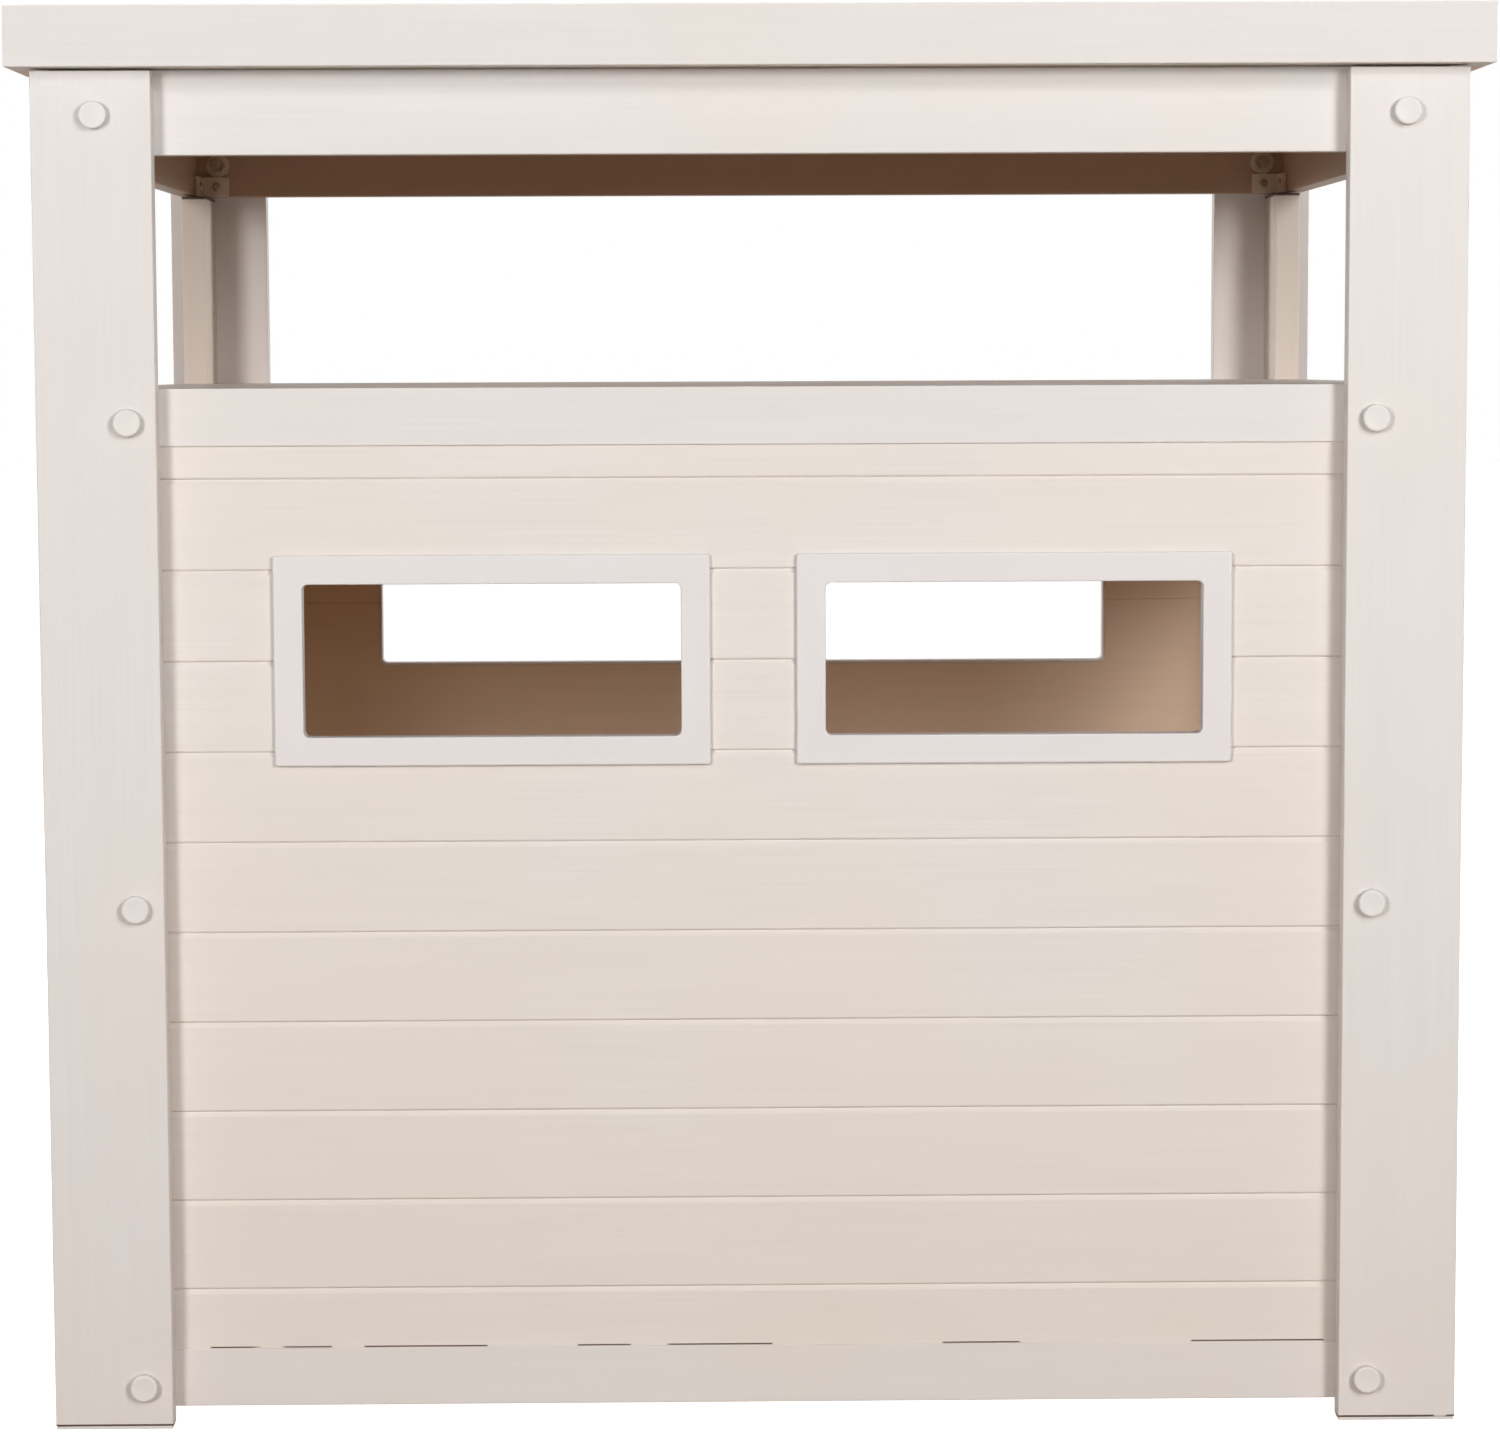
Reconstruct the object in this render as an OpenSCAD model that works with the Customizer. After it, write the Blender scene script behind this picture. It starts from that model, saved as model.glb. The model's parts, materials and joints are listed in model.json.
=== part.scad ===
// Calf hutch: a closed, sided cabin with windows and a doorway, a flat deck over it, and a flat roof on
// four corner boards. Hollow extruded composite boards, bolted through the corner boards.
// The front faces -Y, +X is to the right, +Z is up. The origin is on the ground under the middle.

/* [Roof] */
// Width of the roof over its edge trims
roof_w = 1220; // [1160:1:1300]
// Depth of the roof over its edge trims
roof_d = 918; // [860:1:980]
// Height of the roof's edge trims
roof_h = 50; // [44:1:60]
// How far the roof stands out past the corner boards
overhang = 18; // [14:1:30]
// Thickness of a roof or deck board
board_t = 15; // [13:0.5:16]

/* [Heights] */
// Overall height, from the ground to the top of the roof
total_h = 1188; // [1150:1:1260]
// Height of the deck above the ground
deck_z = 876; // [860:1:900]
// Underside of the base rails above the ground
base_z = 14.5; // [10:0.5:20]

/* [Corner boards] */
// Width of a corner board
post_w = 99; // [90:1:110]
// Thickness of a corner board
post_t = 20; // [18:0.5:24]
// Thickness of the plate under each corner board
foot_h = 3; // [2:0.5:5]
// Gap between the top of a corner board and the roof
post_gap = 2; // [1:0.5:4]

/* [Rails] */
// Thickness of every rail
rail_t = 18; // [17:0.5:20]
// Height of the top rails
top_rail_h = 70; // [60:1:80]
// Height of the rails round the deck
deck_rail_h = 48; // [44:1:56]
// Height of the base rails
base_rail_h = 49; // [44:1:56]
// How far the side rails stand back from the outer edge of the corner boards
side_inset = 13; // [10:1:16]

/* [Walls] */
// Thickness of a wall panel
panel_t = 13; // [12:0.5:14]
// Height of one plank of a wall panel
plank_h = 76.2; // [74:0.1:78]
// Width of the doorway between its jambs
door_w = 440; // [380:5:460]

/* [Windows] */
// Width of a window opening
win_w = 316; // [260:1:320]
// Height of a window opening
win_h = 128; // [100:1:132]
// Distance of a window's middle from the middle of the wall
win_x = 218.5; // [205:0.5:222]
// Width of a window frame's border
win_border = 24.4; // [18:0.2:26]
// Thickness of a window frame's border
win_flange_t = 5; // [3:0.5:7]

/* [Fasteners] */
// Diameter of a bolt
bolt_d = 8; // [6:1:8]
// Diameter of a cap over a bolt head
cap_d = 23; // [20:0.5:26]
// Height of a cap
cap_h = 8; // [7:0.5:10]
// Leg length of a corner bracket
bracket_l = 32; // [28:1:32]
// Height of a corner bracket
bracket_h = 20; // [16:1:20]

/* [Hidden] */
$fn = 64;

SKIN = 2.3;         // wall of a hollow rail
FIT = 0.2;          // clearance round a panel in a channel
EPS = 1;            // how far a cutter runs past a face

FRONT = -1;
REAR = 1;
LEFT = -1;
RIGHT = 1;

// Distances from the middle to each upright plane.
post_x = roof_w / 2 - overhang;
post_y = roof_d / 2 - overhang;
rail_y_out = post_y - post_t;
rail_y_in = rail_y_out - rail_t;
rail_x_out = post_x - side_inset;
rail_x_in = rail_x_out - rail_t;
panel_set = SKIN + FIT;
panel_y_in = rail_y_out - panel_set - panel_t;

// Levels.
roof_z = total_h - roof_h;
top_rail_z = roof_z - top_rail_h;
deck_rail_z = deck_z - deck_rail_h;
board_z = deck_z - board_t;
planks = 4;
panel_h = planks * plank_h;
joint_low = 342.8;      // foot of the middle panels
panel_hid = 19;         // from the deck's top down to the top of the upper panels
win_lift = 0.9;         // from the upper joint up to the middle of a window
joint_high = joint_low + panel_h;
panel_z = joint_low - panel_h;
panel_top = deck_z - panel_hid;
win_z = joint_high + win_lift;

// The side walls run from corner board to corner board, and the front and rear walls between them.
front_len = 2 * rail_x_in;
side_len = 2 * (rail_y_out - 0.5);

// Grooves, tongues and chambers of a wall panel.
groove_in = 2.2;
groove_up = 1.6;
groove_down = 4;
tongue_t = 4;
tongue_h = 6;
core_out = 3.4;
core_in = 2;
core_web = 2.5;
core_foot = 10;         // solid below the lowest chamber, over the slot
core_head = 3;          // solid above the highest chamber
core_least = 2;         // a chamber is never lower than this

// Roof and deck boards.
board_lip = 3;
roof_seat = 5;
trim_w = 22;
batten_w = 38;
batten_set = 1;         // battens stand back from the outer faces of the top rails
boards_n = 3;
board_cells = 6;
board_side = 8;
board_gap = 0.4;

plug_h = 12;

// Bolts: [distance from the middle, height, plane of the inner washer face].
bolt_x = post_x - 75.5;
top_bolt_x = post_x - 52;
bolt_rows = [
    [bolt_x, 36.5, rail_y_in],
    [bolt_x, 443, panel_y_in],
    [bolt_x, 848, rail_y_in],
    [top_bolt_x, 1100, rail_y_in]
];
washer_d = 24;
washer_t = 2;
nut_af = 13;
nut_h = 6.5;
head_h = 5.3;
bolt_play = 0.5;
bolt_spare = 3;
washer_room = 4;        // between a washer's rim and the end of a deck ledge

// Brackets.
bracket_t = 4.5;
bracket_levels = [top_rail_z, deck_rail_z, base_z + 15];
screw_d = 4;
screw_l = 12;
screw_head_d = 8.4;
screw_head_h = 2.6;
screw_rim_h = 1.4;
screw_at = 20;

// Uprights between the deck and the top rails.
stud_t = 24;
stud_d = 82;
stud_gap = 2.5;
stud_x_in = post_x - 46;

// Ledges and joist under the deck boards.
ledge_w = 15;
ledge_h = 12;
joist_w = 30;
joist_h = 35;

// Doorway: its trims cap the cut edges of the panels.
trim_skin = 2.5;
trim_flange = 24;
door_top = joint_high + plank_h;

// Window frames.
win_r = 5;
border_r = 2;
sleeve_t = 2.5;
sleeve_play = 0.3;

CREAM = [0.90, 0.87, 0.84];
SIDING = [0.87, 0.83, 0.79];
FRAME_WHITE = [0.90, 0.88, 0.87];
STEEL = [0.62, 0.62, 0.63];
SHADE = [0.78, 0.73, 0.68];

// ---------------------------------------------------------------- shared shapes

// A section drawn in (y, z), run along X and centred.
module along_x(len) {
    translate([-len / 2, 0, 0])
        rotate([90, 0, 90])
            linear_extrude(len) children();
}

// A section drawn in (x, z), run along Y and centred.
module along_y(len) {
    translate([0, len / 2, 0])
        rotate([90, 0, 0])
            linear_extrude(len) children();
}

// A section drawn for the front or the left is mirrored to the rear or the right.
module to_side_y(side) {
    mirror([0, side == REAR ? 1 : 0, 0]) children();
}

module to_side_x(side) {
    mirror([side == RIGHT ? 1 : 0, 0, 0]) children();
}

// Flat outline with round corners.
module round_rect(w, h, r) {
    square([w - 2 * r, h], center = true);
    square([w, h - 2 * r], center = true);
    for (sx = [-1, 1], sz = [-1, 1])
        translate([sx * (w / 2 - r), sz * (h / 2 - r)]) circle(r);
}

// Row of open chambers side by side along the first axis.
module chambers(w, h, n, web) {
    cell = (w - (n - 1) * web) / n;
    for (i = [0 : n - 1])
        translate([i * (cell + web), 0]) square([cell, h]);
}

// ---------------------------------------------------------------- holes

// Holes for the four bolts at one end of the front wall.
module bolt_holes() {
    for (s = [LEFT, RIGHT], row = bolt_rows)
        translate([s * row[0], -post_y - EPS, row[1]])
            rotate([-90, 0, 0])
                cylinder(h = post_t + rail_t + 2 * EPS, d = bolt_d + bolt_play);
}

// Pilot holes for the bracket screws of one level; both ways along the rails.
module screw_holes(z) {
    for (sx = [LEFT, RIGHT], sy = [FRONT, REAR]) {
        translate([sx * (rail_x_in - screw_at), sy * (rail_y_in - EPS), z + bracket_h / 2])
            rotate([-90 * sy, 0, 0]) cylinder(h = SKIN + 2 * EPS, d = screw_d);
        translate([sx * (rail_x_in - EPS), sy * (rail_y_in - screw_at), z + bracket_h / 2])
            rotate([0, 90 * sx, 0]) cylinder(h = SKIN + 2 * EPS, d = screw_d);
    }
}

// ---------------------------------------------------------------- roof

// Section of the edge trim, its outer face at 0 and its foot at 0: a slot for the boards over a box.
module trim_section() {
    slot_z = roof_h - board_lip - board_t - FIT;
    difference() {
        square([trim_w, roof_h]);
        translate([roof_seat - FIT, slot_z]) square([trim_w, board_t + FIT]);
        translate([SKIN, SKIN]) square([trim_w - 2 * SKIN, slot_z - 2 * SKIN]);
    }
}

// One edge trim of a given length along X at the front, with mitred ends.
module edge_trim(len, dist) {
    intersection() {
        translate([0, -dist, roof_z]) along_x(len) trim_section();
        translate([0, 0, roof_z - EPS])
            linear_extrude(roof_h + 2 * EPS)
                polygon([[-len / 2, -dist], [len / 2, -dist], [len / 2 - trim_w, trim_w - dist],
                         [trim_w - len / 2, trim_w - dist]]);
    }
}

module roof_edge_front() { color(CREAM) edge_trim(roof_w, roof_d / 2); }
module roof_edge_rear() { color(CREAM) to_side_y(REAR) edge_trim(roof_w, roof_d / 2); }
module roof_edge_left() { color(CREAM) rotate([0, 0, -90]) edge_trim(roof_d, roof_w / 2); }
module roof_edge_right() { color(CREAM) rotate([0, 0, 90]) edge_trim(roof_d, roof_w / 2); }

// Section of one hollow board, running along X: width along the first axis, tongue on its far edge.
module board_section(w, tongue, slot) {
    difference() {
        union() {
            square([w, board_t]);
            if (tongue)
                translate([w, board_t / 2 - tongue_t / 2]) square([tongue_h - FIT, tongue_t]);
        }
        if (slot)
            translate([0, board_t / 2 - tongue_t / 2 - FIT]) square([tongue_h, tongue_t + 2 * FIT]);
        translate([board_side, core_web])
            chambers(w - 2 * board_side, board_t - 2 * core_web, board_cells, core_web);
    }
}

// A floor of boards side by side, its underside at z.
module board_floor(len, depth, z) {
    w = depth / boards_n;
    for (i = [0 : boards_n - 1])
        translate([0, i * w - depth / 2, z])
            along_x(len) board_section(w - board_gap, i < boards_n - 1, i > 0);
}

module roof_boards() {
    color(CREAM)
        board_floor(roof_w - 2 * roof_seat, roof_d - 2 * roof_seat, total_h - board_lip - board_t);
}

// Battens across the hutch between the top rails and the roof boards.
module roof_battens() {
    h = roof_h - board_lip - board_t;
    len = roof_w - 2 * trim_w - 2 * batten_set;
    outer = rail_y_out - batten_set;
    color(SHADE)
        for (y = [-outer, -batten_w / 2, outer - batten_w])
            translate([0, y, roof_z])
                along_x(len)
                    difference() {
                        square([batten_w, h]);
                        translate([SKIN, SKIN]) chambers(batten_w - 2 * SKIN, h - 2 * SKIN, 2, SKIN);
                    }
}

// ---------------------------------------------------------------- corner boards

// Hollow corner board of the front left corner.
module corner_board() {
    height = roof_z - post_gap - foot_h;
    difference() {
        translate([-post_x, -post_y, foot_h])
            linear_extrude(height)
                difference() {
                    square([post_w, post_t]);
                    translate([core_web, core_web])
                        chambers(post_w - 2 * core_web, post_t - 2 * core_web, 3, core_web);
                }
        bolt_holes();
    }
}

module post_front_left() { color(CREAM) corner_board(); }
module post_front_right() { color(CREAM) to_side_x(RIGHT) corner_board(); }
module post_rear_left() { color(CREAM) to_side_y(REAR) corner_board(); }
module post_rear_right() { color(CREAM) to_side_x(RIGHT) to_side_y(REAR) corner_board(); }

// Plate under a corner board, with plugs up into its three chambers.
module foot_plate() {
    cell = (post_w - 4 * core_web) / 3;
    translate([-post_x, -post_y, 0]) {
        cube([post_w, post_t, foot_h]);
        for (i = [0 : 2])
            translate([core_web + i * (cell + core_web) + FIT, core_web + FIT, foot_h])
                cube([cell - 2 * FIT, post_t - 2 * core_web - 2 * FIT, plug_h]);
    }
}

module foot_plates() {
    color(CREAM)
        for (sx = [LEFT, RIGHT], sy = [FRONT, REAR])
            to_side_x(sx) to_side_y(sy) foot_plate();
}

// ---------------------------------------------------------------- rails

// Section of a top rail: a hollow box with one web.
module top_rail_section() {
    difference() {
        square([rail_t, top_rail_h]);
        for (z = [SKIN, top_rail_h / 2 + SKIN / 2])
            translate([SKIN, z]) square([rail_t - 2 * SKIN, top_rail_h / 2 - 1.5 * SKIN]);
    }
}

// Section of a rail with a channel for the wall panels, open upwards, over a hollow box.
module channel_section(h, bed) {
    difference() {
        square([rail_t, h]);
        translate([SKIN, bed]) square([rail_t - 2 * SKIN, h]);
        translate([SKIN, SKIN]) square([rail_t - 2 * SKIN, bed - 2 * SKIN]);
    }
}

module base_section() {
    channel_section(base_rail_h, panel_z - base_z);
}

module deck_section() {
    translate([0, deck_rail_h]) mirror([0, 1]) channel_section(deck_rail_h, deck_z - panel_top - 0.5);
}

// Rail of the front wall, between the side rails, from its section and level.
module front_rail(z, bracket_z) {
    difference() {
        translate([0, -rail_y_out, z]) along_x(2 * rail_x_in) children();
        bolt_holes();
        screw_holes(bracket_z);
    }
}

// Rail of the left side, from corner board to corner board. The section's first axis is inwards.
module left_rail(z, bracket_z) {
    difference() {
        translate([-rail_x_out, 0, z]) along_y(2 * rail_y_out) children();
        screw_holes(bracket_z);
    }
}

module top_front() { color(CREAM) front_rail(top_rail_z, bracket_levels[0]) top_rail_section(); }
module top_side() { color(CREAM) left_rail(top_rail_z, bracket_levels[0]) top_rail_section(); }
module top_rail_front() { top_front(); }
module top_rail_rear() { to_side_y(REAR) top_front(); }
module top_rail_left() { top_side(); }
module top_rail_right() { to_side_x(RIGHT) top_side(); }

module deck_front() { color(CREAM) front_rail(deck_rail_z, bracket_levels[1]) deck_section(); }
module deck_side() { color(CREAM) left_rail(deck_rail_z, bracket_levels[1]) deck_section(); }
module deck_rail_front() { deck_front(); }
module deck_rail_rear() { to_side_y(REAR) deck_front(); }
module deck_rail_left() { deck_side(); }
module deck_rail_right() { to_side_x(RIGHT) deck_side(); }

module base_front() { color(CREAM) front_rail(base_z, bracket_levels[2]) base_section(); }
module base_side() { color(CREAM) left_rail(base_z, bracket_levels[2]) base_section(); }
module base_rail_front() { base_front(); }
module base_rail_rear() { to_side_y(REAR) base_front(); }
module base_rail_left() { base_side(); }
module base_rail_right() { to_side_x(RIGHT) base_side(); }

// ---------------------------------------------------------------- uprights and deck

// Hollow upright that carries the top rails on the deck, at the front left corner.
module corner_stud() {
    h = top_rail_z - stud_gap - deck_z;
    translate([-stud_x_in - stud_t, -rail_y_out, deck_z])
        linear_extrude(h)
            difference() {
                square([stud_t, stud_d]);
                for (y = [core_web, stud_d / 2 + core_web / 2])
                    translate([core_web, y])
                        square([stud_t - 2 * core_web, stud_d / 2 - 1.5 * core_web]);
            }
}

module stud_front_left() { color(CREAM) corner_stud(); }
module stud_front_right() { color(CREAM) to_side_x(RIGHT) corner_stud(); }
module stud_rear_left() { color(CREAM) to_side_y(REAR) corner_stud(); }
module stud_rear_right() { color(CREAM) to_side_x(RIGHT) to_side_y(REAR) corner_stud(); }

module deck_boards() {
    color(SIDING) board_floor(2 * rail_x_in, 2 * rail_y_in, board_z);
}

// Ledges inside the deck rails. The long ones run from near a bolt's washer to the joist.
module deck_ledges() {
    z = board_z - ledge_h;
    start = bolt_x - washer_d / 2 - washer_room;
    color(SHADE) {
        for (sx = [LEFT, RIGHT], sy = [FRONT, REAR])
            to_side_x(sx) to_side_y(sy)
                translate([-start, -rail_y_in, z]) cube([start - joist_w / 2, ledge_w, ledge_h]);
        for (sx = [LEFT, RIGHT])
            to_side_x(sx)
                translate([-rail_x_in, -rail_y_in, z]) cube([ledge_w, 2 * rail_y_in, ledge_h]);
    }
}

// Joist under the middle of the deck, from the front deck rail to the rear one.
module deck_joist() {
    color(SHADE)
        translate([0, 0, board_z - joist_h])
            along_y(2 * rail_y_in)
                difference() {
                    translate([-joist_w / 2, 0]) square([joist_w, joist_h]);
                    translate([core_web - joist_w / 2, core_web])
                        square([joist_w - 2 * core_web, joist_h - 2 * core_web]);
                }
}

// ---------------------------------------------------------------- wall panels

// Section of a wall panel: outer face at 0, foot at 0, planks marked by bevelled grooves on the face.
module panel_section(h, tongue, slot) {
    rows = ceil(h / plank_h - 0.01);
    mid = panel_t / 2;
    difference() {
        union() {
            square([panel_t, h]);
            if (tongue) translate([mid - tongue_t / 2, h]) square([tongue_t, tongue_h]);
        }
        for (i = [1 : rows - 1])
            polygon([[0, i * plank_h + groove_up], [groove_in, i * plank_h],
                     [0, i * plank_h - groove_down], [-EPS, i * plank_h]]);
        polygon([[0, groove_up], [groove_in, 0], [groove_in, -EPS], [-EPS, -EPS]]);
        if (tongue)
            polygon([[0, h - groove_down], [groove_in, h], [groove_in, h + EPS], [-EPS, h + EPS]]);
        if (slot)
            translate([mid - tongue_t / 2 - FIT, -EPS]) square([tongue_t + 2 * FIT, tongue_h + EPS + FIT]);
        for (i = [0 : rows - 1], half = [0, 1]) {
            foot = i * plank_h;
            low = foot + (half == 1 ? plank_h / 2 + core_web / 2 : i == 0 ? core_foot : core_web);
            high = foot + (half == 0 ? plank_h / 2 - core_web / 2 : plank_h - core_web);
            top = min(high, h - core_head);
            if (top > low + core_least)
                translate([core_out, low]) square([panel_t - core_out - core_in, top - low]);
        }
    }
}

// Levels of the three panels of a wall: [foot, height, tongue on top, slot below].
LOWER = [panel_z, panel_h, true, false];
MIDDLE = [joint_low, panel_h, true, true];
UPPER = [joint_high, panel_top - joint_high, false, true];

// A panel of the front wall, outer face forward, with the window openings and bolt holes cut out.
module front_panel(level) {
    cut = sleeve_t + sleeve_play;
    difference() {
        translate([0, panel_set - rail_y_out, level[0]])
            along_x(front_len) panel_section(level[1], level[2], level[3]);
        for (s = [LEFT, RIGHT])
            translate([s * win_x, -panel_y_in + EPS, win_z])
                rotate([90, 0, 0])
                    linear_extrude(panel_t + 2 * EPS)
                        round_rect(win_w + 2 * cut, win_h + 2 * cut, win_r + cut);
        bolt_holes();
    }
}

module front_panel_lower() { color(SIDING) front_panel(LOWER); }
module front_panel_middle() { color(SIDING) front_panel(MIDDLE); }
module front_panel_upper() { color(SIDING) front_panel(UPPER); }
module rear_panel_lower() { color(SIDING) to_side_y(REAR) front_panel(LOWER); }
module rear_panel_middle() { color(SIDING) to_side_y(REAR) front_panel(MIDDLE); }
module rear_panel_upper() { color(SIDING) to_side_y(REAR) front_panel(UPPER); }

// A panel of the left wall from y0 to y1, outer face to the left.
module left_panel(level, y0, y1) {
    translate([panel_set - rail_x_out, (y0 + y1) / 2, level[0]])
        along_y(y1 - y0) panel_section(level[1], level[2], level[3]);
}

module left_panel_lower() { color(SIDING) left_panel(LOWER, -side_len / 2, side_len / 2); }
module left_panel_middle() { color(SIDING) left_panel(MIDDLE, -side_len / 2, side_len / 2); }
module left_panel_upper() { color(SIDING) left_panel(UPPER, -side_len / 2, side_len / 2); }

// The right wall's lower and middle panels stop at the doorway's trims.
module right_part(side, level) {
    edge = door_w / 2 + trim_skin + FIT;
    to_side_x(RIGHT) to_side_y(side) left_panel(level, -side_len / 2, -edge);
}

module right_lower_front() { color(SIDING) right_part(FRONT, LOWER); }
module right_lower_rear() { color(SIDING) right_part(REAR, LOWER); }
module right_middle_front() { color(SIDING) right_part(FRONT, MIDDLE); }
module right_middle_rear() { color(SIDING) right_part(REAR, MIDDLE); }

module right_panel_upper() {
    color(SIDING)
        difference() {
            to_side_x(RIGHT) left_panel(UPPER, -side_len / 2, side_len / 2);
            translate([rail_x_in - EPS, -door_w / 2 - trim_skin - FIT, joint_high - EPS])
                cube([rail_t + 2 * EPS, door_w + 2 * (trim_skin + FIT), plank_h + EPS + trim_skin + FIT]);
        }
}

// ---------------------------------------------------------------- doorway

// Section of a trim that caps a panel's cut edge: web on the opening, a flange on each face.
module cap_section(flange) {
    outer = rail_t - 2 * SKIN + 2 * trim_skin - 2 * FIT;
    difference() {
        square([flange, outer]);
        translate([trim_skin, trim_skin]) square([flange, outer - 2 * trim_skin]);
    }
}

module door_jamb(side) {
    foot = base_z + base_rail_h;
    start = SKIN - trim_skin + FIT;
    to_side_y(side)
        translate([rail_x_out - start, -door_w / 2, foot])
            rotate([0, 0, 180])
                linear_extrude(door_top - foot)
                    rotate([0, 0, 90]) mirror([0, 1]) cap_section(trim_flange);
}

module door_jamb_front() { color(CREAM) door_jamb(FRONT); }
module door_jamb_rear() { color(CREAM) door_jamb(REAR); }

module door_lintel() {
    start = SKIN - trim_skin + FIT;
    color(CREAM)
        translate([rail_x_out - start, 0, door_top])
            along_y(door_w + 2 * trim_flange)
                rotate([0, 0, 90]) cap_section(trim_flange);
}

// ---------------------------------------------------------------- windows

// One-piece frame of the front left window: a flat border outside and a sleeve through the wall.
module window_frame(side) {
    face = rail_y_out - panel_set;
    translate([side * win_x, -face, win_z])
        rotate([90, 0, 0])
            difference() {
                union() {
                    linear_extrude(win_flange_t)
                        round_rect(win_w + 2 * win_border, win_h + 2 * win_border, border_r);
                    translate([0, 0, -panel_t])
                        linear_extrude(panel_t + EPS)
                            round_rect(win_w + 2 * sleeve_t, win_h + 2 * sleeve_t, win_r + sleeve_t);
                }
                translate([0, 0, -panel_t - EPS])
                    linear_extrude(panel_t + win_flange_t + 2 * EPS) round_rect(win_w, win_h, win_r);
            }
}

module window_front_left() { color(FRAME_WHITE) window_frame(LEFT); }
module window_front_right() { color(FRAME_WHITE) window_frame(RIGHT); }
module window_rear_left() { color(FRAME_WHITE) to_side_y(REAR) window_frame(LEFT); }
module window_rear_right() { color(FRAME_WHITE) to_side_y(REAR) window_frame(RIGHT); }

// ---------------------------------------------------------------- brackets and fasteners

// Angle bracket in the front left inner corner, a leg on each rail.
module bracket(z) {
    translate([-rail_x_in, -rail_y_in, z])
        difference() {
            cube([bracket_l, bracket_l, bracket_h]);
            translate([bracket_t, bracket_t, -EPS]) cube([bracket_l, bracket_l, bracket_h + 2 * EPS]);
            translate([screw_at, bracket_t + EPS, bracket_h / 2])
                rotate([90, 0, 0]) cylinder(h = bracket_t + 2 * EPS, d = screw_d + 2 * FIT);
            translate([-EPS, screw_at, bracket_h / 2])
                rotate([0, 90, 0]) cylinder(h = bracket_t + 2 * EPS, d = screw_d + 2 * FIT);
        }
}

module bracket_ring(z) {
    color(SHADE)
        for (sx = [LEFT, RIGHT], sy = [FRONT, REAR])
            to_side_x(sx) to_side_y(sy) bracket(z);
}

module brackets_top() { bracket_ring(bracket_levels[0]); }
module brackets_deck() { bracket_ring(bracket_levels[1]); }
module brackets_base() { bracket_ring(bracket_levels[2]); }

// Pan-head screw, its head seated at 0 and its shank down -Z.
module pan_screw() {
    r = screw_d / 2 - 0.1;
    rim = screw_head_d / 2;
    rotate_extrude()
        polygon([[0, -screw_l], [r - 1, -screw_l], [r, 3 - screw_l], [r, 0], [rim, 0],
                 [rim, screw_rim_h], [rim - 1.2, screw_head_h], [0, screw_head_h]]);
}

module bracket_screws() {
    color(STEEL)
        for (z = bracket_levels, sx = [LEFT, RIGHT], sy = [FRONT, REAR])
            to_side_x(sx) to_side_y(sy)
                translate([-rail_x_in, -rail_y_in, z + bracket_h / 2]) {
                    translate([screw_at, bracket_t, 0]) rotate([-90, 0, 0]) pan_screw();
                    translate([bracket_t, screw_at, 0]) rotate([0, 90, 0]) pan_screw();
                }
}

// Places its children at each bolt of a wall, with +Z out of the wall's face.
module at_bolts(side) {
    to_side_y(side)
        for (s = [LEFT, RIGHT], row = bolt_rows)
            translate([s * row[0], -post_y, row[1]]) rotate([90, 0, 0]) children();
}

// Round cap, hollow over the bolt head, with a rounded rim and a slightly dished face.
module bolt_cap() {
    r = cap_d / 2;
    rotate_extrude()
        polygon([[r - 2, 0], [r, 0], [r, cap_h - 1.6], [r - 0.5, cap_h - 0.5], [r - 1.6, cap_h],
                 [r - 3, cap_h - 0.1], [0, cap_h - 0.6], [0, cap_h - 2.2], [r - 2, cap_h - 2.2]]);
}

module bolt_caps() {
    color(CREAM)
        for (side = [FRONT, REAR])
            at_bolts(side) bolt_cap();
}

// Hexagon-head bolt through the corner board and what is behind it.
module frame_bolts() {
    shank = post_t + rail_t + washer_t + nut_h + bolt_spare;
    color(STEEL)
        for (side = [FRONT, REAR])
            at_bolts(side) {
                cylinder(h = head_h, d = nut_af / cos(30), $fn = 6);
                translate([0, 0, -shank]) cylinder(h = shank, d = bolt_d);
            }
}

// Places its children on the inner washer face at each bolt, with +Z into the hutch.
module at_nuts(lift) {
    for (side = [FRONT, REAR])
        to_side_y(side)
            for (s = [LEFT, RIGHT], row = bolt_rows)
                translate([s * row[0], lift - row[2], row[1]]) rotate([-90, 0, 0]) children();
}

module frame_washers() {
    color(CREAM)
        at_nuts(0)
            difference() {
                cylinder(h = washer_t, d = washer_d);
                translate([0, 0, -EPS]) cylinder(h = washer_t + 2 * EPS, d = bolt_d + bolt_play);
            }
}

module frame_nuts() {
    color(STEEL)
        at_nuts(washer_t)
            difference() {
                cylinder(h = nut_h, d = nut_af / cos(30), $fn = 6);
                translate([0, 0, -EPS]) cylinder(h = nut_h + 2 * EPS, d = bolt_d + 0.1);
            }
}

// ---------------------------------------------------------------- nodes

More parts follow.
